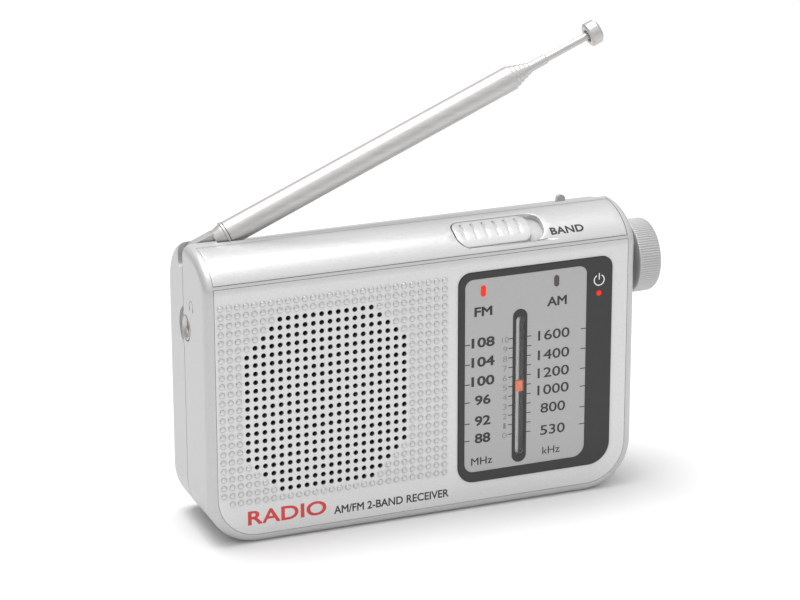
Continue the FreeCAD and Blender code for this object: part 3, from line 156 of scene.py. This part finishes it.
def sprayed_silver(name, value, metal, rough, crevice_shade=0.0):
    """Silver-sprayed plastic: metal flakes in a clear lacquer with a faint orange peel.

    Within the given reach, in millimetres, of small raised or sunk detail the base colour is
    darkened: painted shade.
    """
    shader = Shader(name).set(Metallic=metal, Coat_Weight=0.12, Coat_Roughness=0.3)
    flakes, clouds = shader.noise(5200, 2.0), shader.noise(1400, 4.0)
    grain, peel = shader.noise(6500, 2.0), shader.noise(700, 2.0)
    shader.tint(flakes, grey(value * 0.93), grey(value * 1.05))
    shader.gloss(clouds, rough - 0.05, rough + 0.06)
    shader.bump(grain, 0.01, 0.5).bump(peel, 0.02, 0.35)
    if crevice_shade:
        shader.shade_crevices(crevice_shade)
    return shader.material


def plated(name, value, rough, warm=0.0, stretch=(1, 1, 1), metal=1.0):
    """Plated or bare metal. A stretch draws its marks out into lines."""
    shader = Shader(name).set(Metallic=metal)
    marks, haze = shader.noise(160, 4.0, 0.6, stretch), shader.noise(900, 5.0, 0.6, stretch)
    lines = shader.noise(2600, 3.0, 0.5, stretch)
    shader.tint(marks, grey(value * 0.92, warm), grey(value * 1.06, warm))
    shader.gloss(haze, rough * 0.7, rough * 1.4)
    shader.bump(lines, 0.004, 0.4)
    return shader.material


def moulded(name, colour, rough, coat=0.0, grain=0.02):
    """Moulded plastic with a fine grain, its height in millimetres."""
    shader = Shader(name).set(Coat_Weight=coat, Coat_Roughness=0.08)
    shader.tint(shader.noise(260, 4.0), shade(colour, 0.9), shade(colour, 1.1))
    shader.gloss(shader.noise(1100, 4.0), rough * 0.85, rough * 1.2)
    shader.bump(shader.noise(3800, 3.0), grain, 0.4)
    return shader.material


def printing_ink(name, colour, rough, coat):
    """Printing ink: as moulded plastic, but nearly without grain."""
    return moulded(name, colour, rough, coat, grain=0.002)


def dial_print(name, value):
    """Silver ink behind a clear dial sheet: fine flakes under a smooth gloss."""
    shader = Shader(name).set(Metallic=0.35, Coat_Weight=0.5, Coat_Roughness=0.12)
    shader.tint(shader.noise(7000, 2.0), grey(value * 0.93), grey(value * 1.05))
    shader.gloss(shader.noise(2500, 3.0), 0.42, 0.52)
    shader.bump(shader.noise(6000, 2.0), 0.004, 0.3)
    return shader.material


def lens(name, colour, glow):
    """A small coloured lens that glows: on a lamp the glow is its light from behind, on a part that
    is no lamp it is painted light.
    """
    shader = Shader(name).set(Coat_Weight=0.08, Specular_IOR_Level=0.25)
    shader.set(Emission_Color=(*colour, 1), Emission_Strength=glow)
    shader.tint(shader.noise(900, 2.0), shade(colour, 0.85), colour)
    shader.gloss(shader.noise(1300, 2.0), 0.22, 0.32)
    return shader.material


def clear(name):
    """Clear acrylic."""
    shader = Shader(name).set(IOR=1.49, Transmission_Weight=1.0, Specular_IOR_Level=0.3)
    shader.tint(shader.noise(300, 2.0), grey(0.95), grey(0.99))
    shader.gloss(shader.noise(900, 2.0), 0.02, 0.06)
    return shader.material


def woven(name, colour):
    """A fine cloth."""
    shader = Shader(name).set(Roughness=0.95)
    weave = shader.cells(2200)
    shader.tint(weave, shade(colour, 0.5), colour)
    shader.bump(weave, 0.06, 0.7)
    return shader.material


MATERIALS = {
    "silver_plastic": sprayed_silver("case_silver", 0.55, metal=0.45, rough=0.44),
    "panel_silver": sprayed_silver("panel_silver", 0.63, metal=0.6, rough=0.36),
    "knob_silver": sprayed_silver("knob_silver", 0.53, metal=0.45, rough=0.44),
    "cloth_black": woven("speaker_cloth", grey(0.012)),
    "dial_charcoal": moulded(
        "dial_charcoal", (0.018, 0.0165, 0.0165), rough=0.36, coat=0.12, grain=0.004
    ),
    "dial_silver": dial_print("dial_silver", 0.42),
    "clear_window": clear("clear_window"),
    "lamp_red": lens("lamp_red", (0.85, 0.02, 0.001), glow=0.45),
    "lamp_dark": moulded("lamp_dark", (0.05, 0.04, 0.04), rough=0.3, coat=0.4),
    "steel": plated("plated_steel", 0.55, rough=0.28),
    "chrome": plated(
        "antenna_chrome", 0.54, rough=0.38, warm=0.02, stretch=(1, 8, 8), metal=0.7
    ),
    "aluminium": plated("bare_aluminium", 0.7, rough=0.35),
    "brass": plated("spring_brass", 0.6, rough=0.3, warm=0.25),
    "copper": plated("copper_wire", 0.45, rough=0.3, warm=0.4),
    "white_plastic": moulded("natural_plastic", (0.66, 0.65, 0.60), rough=0.45),
    "black_plastic": moulded("black_plastic", grey(0.025), rough=0.4),
    # The pointer is no lamp: its glow is painted light that keeps it bright and flat.
    "pointer_orange": lens("pointer_orange", (0.90, 0.19, 0.08), glow=0.35),
    "cord_thread": woven("cord_thread", (0.65, 0.62, 0.5)),
    "paper": woven("felted_paper", (0.12, 0.11, 0.10)),
    "board": moulded("phenolic_board", (0.40, 0.26, 0.10), rough=0.5),
    "blue_sleeve": moulded("blue_sleeve", (0.04, 0.09, 0.30), rough=0.3, coat=0.3),
    "ferrite": moulded("ferrite", (0.05, 0.05, 0.055), rough=0.6),
    "cell_jacket": moulded("cell_jacket", (0.42, 0.07, 0.05), rough=0.3, coat=0.4),
}
OWN_FINISH = {
    # The front plate's copy of the panel silver is a little lighter than the top plate's, as
    # painted light on the flat front, and has painted shade around its raised dots.
    "front_plate": sprayed_silver("plate_silver_painted_light_and_shade", 0.66, metal=0.6, rough=0.36, crevice_shade=1.1),
    "pointer_rail": plated("ground_rail", 0.42, rough=0.30, stretch=(40, 40, 1)),
}
INK_DARK = printing_ink("print_dark", (0.022, 0.022, 0.024), rough=0.45, coat=0.2)
INK_RED = printing_ink("print_red", (0.62, 0.03, 0.03), rough=0.4, coat=0.2)
INK_WHITE = printing_ink("print_white", grey(0.82), rough=0.4, coat=0.2)
INK_GREY = printing_ink("print_grey", (0.20, 0.20, 0.21), rough=0.45, coat=0.1)


def dress_nodes():
    """Give every CAD part its finish."""
    for name, obj in NODES.items():
        obj.data.materials.clear()
        obj.data.materials.append(OWN_FINISH.get(name, MATERIALS[SLOTS[name]]))


# ---------------------------------------------------------------- edges of the CAD parts

EDGE_RADII = {  # millimetres
    "dial_bezel": 0.25,
    "top_plate": 0.2,
    "band_slider": 0.18,
    "jack_ring": 0.25,
    "antenna_plug": 0.2,
    "antenna_collar": 0.1,
    "pointer": 0.08,
}
SHARP_ANGLE = math.radians(35)
WELD_REACH = 0.002


def soften_edges():
    """Round the sharp edges of the CAD parts that are seen from near."""
    for name, radius in EDGE_RADII.items():
        weld = NODES[name].modifiers.new("weld", "WELD")
        weld.merge_threshold = WELD_REACH * MM
        bevel = NODES[name].modifiers.new("bevel", "BEVEL")
        bevel.width = radius * MM
        bevel.segments = 3
        bevel.limit_method = "ANGLE"
        bevel.angle_limit = SHARP_ANGLE


# ---------------------------------------------------------------- making pieces


def add_to_scene(name, data):
    obj = bpy.data.objects.new(name, data)
    bpy.context.scene.collection.objects.link(obj)
    return obj


def mesh_piece(name, vertices, faces, material, body, smooth=False):
    """A new mesh in metres that rides on a body."""
    mesh = bpy.data.meshes.new(name)
    mesh.from_pydata([tuple(v) for v in vertices], [], faces)
    mesh.update()
    shape = bmesh.new()
    shape.from_mesh(mesh)
    bmesh.ops.recalc_face_normals(shape, faces=shape.faces)
    shape.to_mesh(mesh)
    shape.free()
    for polygon in mesh.polygons:
        polygon.use_smooth = smooth
    mesh.materials.append(material)
    obj = add_to_scene(name, mesh)
    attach(obj, body)
    return obj


def arc(x, z, radius, start, end, steps=28):
    """Points on a circle, angles in degrees from the first axis towards the second."""
    angles = [math.radians(start + (end - start) * i / steps) for i in range(steps + 1)]
    return [(x + radius * math.cos(a), z + radius * math.sin(a)) for a in angles]


# ---------------------------------------------------------------- lettering

# From here to the knob, sizes and places are in millimetres. Vertices are made in metres.
INK_THICK = 0.02
CAP_HEIGHT = 0.72  # height of a capital, for lettering of size 1
CURVE_STEPS = 4
SAME_POINT = 0.0005
TURN_BACK = 0.05  # the two sides of a corner that turns back on itself sum to less than this
CORNER_LIMIT = 0.6  # keeps sharp corners from running far out


def embolden(shape, weight):
    """Push a flat outline's edges outwards by a weight, or inwards if it is negative."""
    moves = {}
    for vert in shape.verts:
        sides = []
        for edge in vert.link_edges:
            if len(edge.link_faces) != 1:
                continue
            along = (edge.verts[1].co - edge.verts[0].co).normalized()
            side = Vector((along.y, -along.x, 0))
            inward = edge.link_faces[0].calc_center_median() - edge.verts[0].co
            sides.append(-side if side.dot(inward) > 0 else side)
        if len(sides) == 2 and (sides[0] + sides[1]).length > TURN_BACK:
            out = (sides[0] + sides[1]).normalized()
            moves[vert] = out * (weight / max(out.dot(sides[0]), CORNER_LIMIT))
    for vert, move in moves.items():
        vert.co += move


def text_mesh(words, weight, thick, spacing=1.0, cuts=0):
    """Lettering as (vertices, faces): x and y run from 0 to 1 over it, and z from 0 to thick.

    The weight is for lettering of size 1. Level cuts across it let the letters bend.
    """
    curve = bpy.data.curves.new("words", "FONT")
    curve.body = words
    curve.size = 1.0
    curve.space_character = spacing
    curve.resolution_u = CURVE_STEPS
    temp = bpy.data.objects.new("words", curve)
    bpy.context.scene.collection.objects.link(temp)
    bpy.context.view_layer.update()
    flat = bpy.data.meshes.new_from_object(temp)
    bpy.data.objects.remove(temp)
    bpy.data.curves.remove(curve)
    shape = bmesh.new()
    shape.from_mesh(flat)
    bpy.data.meshes.remove(flat)
    bmesh.ops.remove_doubles(shape, verts=shape.verts, dist=SAME_POINT)
    embolden(shape, weight)
    for index in range(cuts):
        level = (index + 0.5) / cuts * CAP_HEIGHT
        everything = shape.verts[:] + shape.edges[:] + shape.faces[:]
        bmesh.ops.bisect_plane(
            shape, geom=everything, plane_co=(0, level, 0), plane_no=(0, 1, 0)
        )
    pushed = bmesh.ops.extrude_face_region(shape, geom=shape.faces[:])
    for item in pushed["geom"]:
        if isinstance(item, bmesh.types.BMVert):
            item.co.z += thick
    shape.verts.index_update()
    left, right = min(v.co.x for v in shape.verts), max(v.co.x for v in shape.verts)
    low, high = min(v.co.y for v in shape.verts), max(v.co.y for v in shape.verts)
    vertices = [
        Vector(((v.co.x - left) / (right - left), (v.co.y - low) / (high - low), v.co.z))
        for v in shape.verts
    ]
    faces = [[v.index for v in face.verts] for face in shape.faces]
    shape.free()
    return vertices, faces


def front_label(name, words, box, face, ink, weight):
    """Lettering in a box (left, right, low, high) on a face that looks to the front."""
    left, right, low, high = box
    vertices, faces = text_mesh(words, weight, INK_THICK)
    placed = [
        Vector((left + (right - left) * v.x, face - v.z, low + (high - low) * v.y)) * MM
        for v in vertices
    ]
    mesh_piece(name, placed, faces, ink, "case")


def front_strokes(name, boxes, face, ink):
    """Printed strokes, each a box (left, right, low, high), on a face that looks to the front."""
    sides = ((0, 1, 2, 3), (4, 7, 6, 5), (0, 4, 5, 1), (1, 5, 6, 2), (2, 6, 7, 3), (3, 7, 4, 0))
    vertices, faces = [], []
    for left, right, low, high in boxes:
        start = len(vertices)
        for y in (face, face - INK_THICK):
            for x, z in ((left, low), (right, low), (right, high), (left, high)):
                vertices.append(Vector((x, y, z)) * MM)
        faces += [[start + index for index in side] for side in sides]
    mesh_piece(name, vertices, faces, ink, "case")


def ribbon(points, width):
    """A printed line of even width through flat points, as (vertices, faces).

    Each vertex is (first axis, whether it is on the ink's top, second axis).
    """
    vertices, faces = [], []
    last = len(points) - 1
    for index, (across, up) in enumerate(points):
        along = Vector(points[min(index + 1, last)]) - Vector(points[max(index - 1, 0)])
        side = Vector((-along.y, along.x)).normalized() * width / 2
        for top in (0, 1):
            vertices.append((across + side.x, top, up + side.y))
            vertices.append((across - side.x, top, up - side.y))
    for index in range(last):
        a = index * 4
        b = a + 4
        faces += [[a, a + 1, b + 1, b], [a + 2, b + 2, b + 3, a + 3]]
        faces += [[a, b, b + 2, a + 2], [a + 1, a + 3, b + 3, b + 1]]
    a = last * 4
    faces += [[0, 2, 3, 1], [a, a + 1, a + 3, a + 2]]
    return vertices, faces


# ---------------------------------------------------------------- printing on the dial

DIAL_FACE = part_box("dial_plate")[0].y / MM
BEZEL_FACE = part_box("dial_bezel")[0].y / MM

FM_X, AM_X, LOG_X = 16.05, 36.3, 22.35  # middles of the three columns of numbers
# Each number's tick height, and how far the number's middle stands above its tick.
FM_SCALE = {
    "108": (46.6, 0.35),
    "104": (41.1, 0.45),
    "100": (35.55, 0.65),
    "96": (30.5, 0.35),
    "92": (24.55, 0.45),
    "88": (19.7, 0.4),
}
AM_SCALE = {
    "1600": (46.95, -0.35),
    "1400": (41.35, -0.25),
    "1200": (35.75, 0.3),
    "1000": (30.7, 0.5),
    "800": (24.8, 1.25),
    "530": (19.95, -0.2),
}
FM_WIDE = {2: 4.5, 3: 6.6}  # a number's width by its count of digits
AM_WIDE = {3: 7.2, 4: 9.1}
DIGIT_HIGH = 2.8
FM_TICKS, AM_TICKS = (10.95, 12.35), (44.1, 45.55)  # left and right end
LOG_TICKS = ((23.35, 24.55), (28.6, 29.85))
FM_TICK_THICK, TICK_THICK = 0.26, 0.24
LOG_TOP, LOG_BOTTOM = 46.9, 20.0
LOG_COUNT = 10
LOG_WIDE, LOG_ONE_WIDE, LOG_TEN_WIDE = 1.2, 0.7, 1.9
LOG_HIGH = 1.58
LOG_FOOT = -0.95  # of a number, from its tick

POWER_X, POWER_Z = 49.15, 60.0
POWER_RADIUS = 1.45
POWER_GAP = 56
POWER_PEN = 0.3
POWER_BAR = (0.1, 1.9)


def tick(ends, level, thick=TICK_THICK):
    return (*ends, level - thick / 2, level + thick / 2)


def print_numbers(band, scale, x, widths, weight):
    for words, (level, rise) in scale.items():
        half = widths[len(words)] / 2
        low = level + rise - DIGIT_HIGH / 2
        box = (x - half, x + half, low, low + DIGIT_HIGH)
        front_label(f"print_{band}_{words}", words, box, DIAL_FACE, INK_DARK, weight)


def print_dial():
    for name, words, box, weight in (
        ("print_fm", "FM", (13.5, 18.6, 54.2, 56.8), 0.032),
        ("print_am", "AM", (34.2, 39.9, 54.45, 57.05), 0.028),
        ("print_mhz", "MHz", (12.8, 18.9, 12.6, 14.65), 0.012),
        ("print_khz", "kHz", (33.4, 38.5, 12.85, 14.9), 0.004),
    ):
        front_label(name, words, box, DIAL_FACE, INK_DARK, weight)
    print_numbers("fm", FM_SCALE, FM_X, FM_WIDE, 0.03)
    print_numbers("am", AM_SCALE, AM_X, AM_WIDE, 0.012)
    ticks = [tick(FM_TICKS, level, FM_TICK_THICK) for level, rise in FM_SCALE.values()]
    ticks += [tick(AM_TICKS, level) for level, rise in AM_SCALE.values()]
    for index in range(LOG_COUNT + 1):
        level = LOG_BOTTOM + (LOG_TOP - LOG_BOTTOM) / LOG_COUNT * index
        ticks += [tick(ends, level) for ends in LOG_TICKS]
        half = {1: LOG_ONE_WIDE, 10: LOG_TEN_WIDE}.get(index, LOG_WIDE) / 2
        low = level + LOG_FOOT
        box = (LOG_X - half, LOG_X + half, low, low + LOG_HIGH)
        front_label(f"print_log_{index}", str(index), box, DIAL_FACE, INK_GREY, -0.012)
    front_strokes("print_ticks", ticks, DIAL_FACE, INK_DARK)


def print_power_mark():
    """The ring, open at the top, and the bar that stands in its gap."""
    start, end = 90 + POWER_GAP / 2, 450 - POWER_GAP / 2
    vertices, faces = ribbon(arc(POWER_X, POWER_Z, POWER_RADIUS, start, end), POWER_PEN)
    placed = [Vector((x, BEZEL_FACE - INK_THICK * top, z)) * MM for x, top, z in vertices]
    mesh_piece("print_power_ring", placed, faces, INK_WHITE, "case")
    foot, head = POWER_BAR
    box = (POWER_X - POWER_PEN / 2, POWER_X + POWER_PEN / 2, POWER_Z + foot, POWER_Z + head)
    front_strokes("print_power_bar", [box], BEZEL_FACE, INK_WHITE)


# ---------------------------------------------------------------- printing on the front plate

PLATE_FACE = -15.5  # the flat between the raised dots


def print_front():
    for name, words, box, colour in (
        ("print_receiver", "AM/FM 2-BAND RECEIVER", (-25.9, 6.5, 4.75, 7.0), INK_DARK),
        ("print_word", "RADIO", (-49.6, -28.0, 5.2, 9.2), INK_RED),
    ):
        front_label(name, words, box, PLATE_FACE, colour, 0.02)


# ---------------------------------------------------------------- printing on the curved top

# The long front curve is a quarter of an ellipse: its middle, and its half sizes.
CURVE_Y, CURVE_Z = -1.2, 68.6
CURVE_RUN, CURVE_RISE = 14.3, 8.9
BAND_LEFT, BAND_WIDE = 36.3, 9.5
BAND_FOOT_Y, BAND_HEAD_Y = -13.35, -11.6
BAND_CUTS = 9


def curve_point(angle):
    """A point of the curve and its outward direction, both as (y, z)."""
    place = Vector((CURVE_Y - CURVE_RUN * math.cos(angle), CURVE_Z + CURVE_RISE * math.sin(angle)))
    out = Vector((-math.cos(angle) / CURVE_RUN, math.sin(angle) / CURVE_RISE)).normalized()
    return place, out


def angle_at(y):
    return math.acos((CURVE_Y - y) / CURVE_RUN)


def print_band():
    """The lettering beside the slider, laid on the curve."""
    vertices, faces = text_mesh("BAND", 0.03, 2 * INK_THICK, spacing=1.05, cuts=BAND_CUTS)
    start, end = angle_at(BAND_FOOT_Y), angle_at(BAND_HEAD_Y)
    placed = []
    for v in vertices:
        place, out = curve_point(start + (end - start) * v.y)
        y, z = place + out * v.z
        placed.append(Vector((BAND_LEFT + BAND_WIDE * v.x, y, z)) * MM)
    mesh_piece("print_band", placed, faces, INK_DARK, "case")


# ---------------------------------------------------------------- printing on the left wall

LEFT_WALL = -60.0
SIGN_Y, SIGN_Z = -4.1, 62.8
BOW_RADIUS, BOW_PEN, BOW_FOOT = 1.5, 0.2, -0.9
PAD_REACH, PAD_PEN = 1.25, 0.6
PAD_HEAD, PAD_FOOT = -0.2, -1.35


def print_headphones():
    """A small headphone sign above the socket: a bow and two pads."""
    bow = arc(SIGN_Y, SIGN_Z, BOW_RADIUS, 0, 180, 24)
    bow.insert(0, (SIGN_Y + BOW_RADIUS, SIGN_Z + BOW_FOOT))
    bow.append((SIGN_Y - BOW_RADIUS, SIGN_Z + BOW_FOOT))
    lines = [(bow, BOW_PEN)]
    for y in (SIGN_Y - PAD_REACH, SIGN_Y + PAD_REACH):
        lines.append(([(y, SIGN_Z + PAD_HEAD), (y, SIGN_Z + PAD_FOOT)], PAD_PEN))
    placed, faces = [], []
    for points, width in lines:
        start = len(placed)
        vertices, sides = ribbon(points, width)
        placed += [Vector((LEFT_WALL - INK_THICK * top, y, z)) * MM for y, top, z in vertices]
        faces += [[start + index for index in side] for side in sides]
    mesh_piece("print_headphones", placed, faces, INK_GREY, "case")


# ---------------------------------------------------------------- tuning knob

RIBS = 90
RIB_DEPTH = 0.3
RIB_POWER = 1.5  # above 1 the ribs are rounder and the furrows sharper
SAMPLES_PER_RIB = 8
KNOB_ROUND = 2.0
KNOB_DISH = 0.35
NEAR_AXIS = 0.001


def knob_profile(length, radius):
    """Half the knob's outline from its inner side outwards, as (along the axis, from the axis)."""
    back = [(0.0, radius - 2.3), (0.0, radius - 0.5), (0.18, radius - 0.1), (0.5, radius)]
    corner_x, corner_r = length - KNOB_ROUND, radius - KNOB_ROUND
    rim = [(corner_x + x, corner_r + r) for r, x in arc(0, 0, KNOB_ROUND, 0, 81, 9)]
    dish = [(length, radius - 2.4), (length - 0.25, radius - 3.0)]
    dish += [(length - KNOB_DISH, radius - 5.0), (length - KNOB_DISH, NEAR_AXIS)]
    return back + rim + dish


def ribbed_knob():
    """The tuning knob with its ribs running out over the rounded edge."""
    low, high = (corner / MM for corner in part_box("tuning_knob"))
    radius = (high.y - low.y) / 2
    length = high.x - low.x
    centre = (low + high) / 2
    profile = knob_profile(length, radius)
    turn = RIBS * SAMPLES_PER_RIB
    vertices = []
    for along, reach in profile:
        ribbed = 0.3 < along < length - 0.6 and reach > radius - 1.6
        for index in range(turn):
            wave = 0.5 - 0.5 * math.cos(2 * math.pi * index / SAMPLES_PER_RIB)
            r = reach - RIB_DEPTH * wave ** RIB_POWER if ribbed else reach
            a = 2 * math.pi * index / turn
            y, z = centre.y + r * math.cos(a), centre.z + r * math.sin(a)
            vertices.append(Vector((low.x + along, y, z)) * MM)
    faces = []
    for ring in range(len(profile) - 1):
        for index in range(turn):
            a = ring * turn + index
            b = ring * turn + (index + 1) % turn
            faces.append([a, b, b + turn, a + turn])
    faces.append(list(range(turn)))
    obj = mesh_piece(
        "knob_ribbed", vertices, faces, MATERIALS["knob_silver"], "tuning", True
    )
    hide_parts("tuning_knob")


# ---------------------------------------------------------------- floor, light and camera

# Sizes and places of the stage are in metres.
FLOOR_REACH = 6.0

KEY_PLACE = Vector((-0.16, 0.16, 1.2))
KEY_TARGET = Vector((0, 0, 0.04))
KEY_SIZE = 0.7
KEY_POWER = 12.0

# The sky is a sum of wide lobes. Each has the direction of its middle, and the strength at
# some cosines of the angle from there.
SKY = (
    # the whole sky, brighter overhead
    ((0.0, 0.0, 1.0), ((0.0, 0.26), (0.3, 0.34), (0.6, 0.50), (0.9, 0.60), (1.0, 0.60))),
    # behind the radio
    ((0.35, 0.9, 0.35), ((0.0, 0.0), (0.3, 0.10), (0.8, 0.35), (1.0, 0.45))),
    # above the camera, to the left
    ((-0.6, -0.45, 0.6), ((0.0, 0.0), (0.7, 0.05), (1.0, 0.5))),
    # low in front
    ((0.4, -0.9, 0.2), ((0.0, 0.0), (0.3, 0.10), (1.0, 0.60))),
)

CAMERA_PLACE = Vector((-0.2887, -0.7287, 0.3261))
CAMERA_RIGHT = Vector((0.92994, -0.36770, -0.00195))
CAMERA_UP = Vector((0.12164, 0.30262, 0.94532))
FOCAL_LENGTH = 141.75
SENSOR_WIDTH = 36.0


def floor():
    shader = Shader("pale_floor").set(Roughness=0.85, Specular_IOR_Level=0.2)
    shader.tint(shader.noise(3.0, 2.0), grey(0.80), grey(0.82))
    reach = FLOOR_REACH
    corners = [(-reach, -reach, 0), (reach, -reach, 0), (reach, reach, 0), (-reach, reach, 0)]
    mesh = bpy.data.meshes.new("floor")
    mesh.from_pydata(corners, [], [(0, 1, 2, 3)])
    mesh.materials.append(shader.material)
    add_to_scene("floor", mesh)


def sky_lobe(tree, ray, direction, stops):
    """The strength of one lobe for the ray's direction."""
    lean = tree.nodes.new("ShaderNodeVectorMath")
    lean.operation = "DOT_PRODUCT"
    lean.inputs[1].default_value = Vector(direction).normalized()
    tree.links.new(ray, lean.inputs[0])
    fall = tree.nodes.new("ShaderNodeFloatCurve")
    curve = fall.mapping.curves[0]
    curve.points[0].location, curve.points[1].location = stops[0], stops[-1]
    for stop in stops[1:-1]:
        curve.points.new(*stop)
    for point in curve.points:
        point.handle_type = "VECTOR"
    fall.mapping.update()
    tree.links.new(lean.outputs["Value"], fall.inputs["Value"])
    return fall.outputs["Value"]


def sky():
    world = bpy.data.worlds.new("studio")
    bpy.context.scene.world = world
    world.use_nodes = True
    tree = world.node_tree
    ray = tree.nodes.new("ShaderNodeTexCoord").outputs["Generated"]
    lobes = [sky_lobe(tree, ray, direction, stops) for direction, stops in SKY]
    total = lobes[0]
    for lobe in lobes[1:]:
        add = tree.nodes.new("ShaderNodeMath")
        tree.links.new(total, add.inputs[0])
        tree.links.new(lobe, add.inputs[1])
        total = add.outputs["Value"]
    background = tree.nodes["Background"]
    background.inputs["Color"].default_value = (1, 1, 1, 1)
    tree.links.new(total, background.inputs["Strength"])


def key_light():
    """A wide soft light, high over the radio and a little behind it."""
    data = bpy.data.lights.new("key", "AREA")
    data.size = KEY_SIZE
    data.energy = KEY_POWER
    obj = add_to_scene("key", data)
    obj.location = KEY_PLACE
    obj.rotation_euler = (KEY_TARGET - KEY_PLACE).to_track_quat("-Z", "Y").to_euler()


def camera():
    data = bpy.data.cameras.new("camera")
    data.lens = FOCAL_LENGTH
    data.sensor_width = SENSOR_WIDTH
    data.clip_start, data.clip_end = 0.05, 40.0
    axes = (CAMERA_RIGHT, CAMERA_UP, CAMERA_RIGHT.cross(CAMERA_UP))
    obj = add_to_scene("camera", data)
    obj.matrix_world = Matrix.Translation(CAMERA_PLACE) @ Matrix(axes).transposed().to_4x4()
    bpy.context.scene.camera = obj


dress_nodes()
print_dial()
print_power_mark()
print_front()
print_band()
print_headphones()
ribbed_knob()
soften_edges()

floor()
sky()
key_light()
camera()
bpy.context.scene.view_settings.view_transform = "Standard"
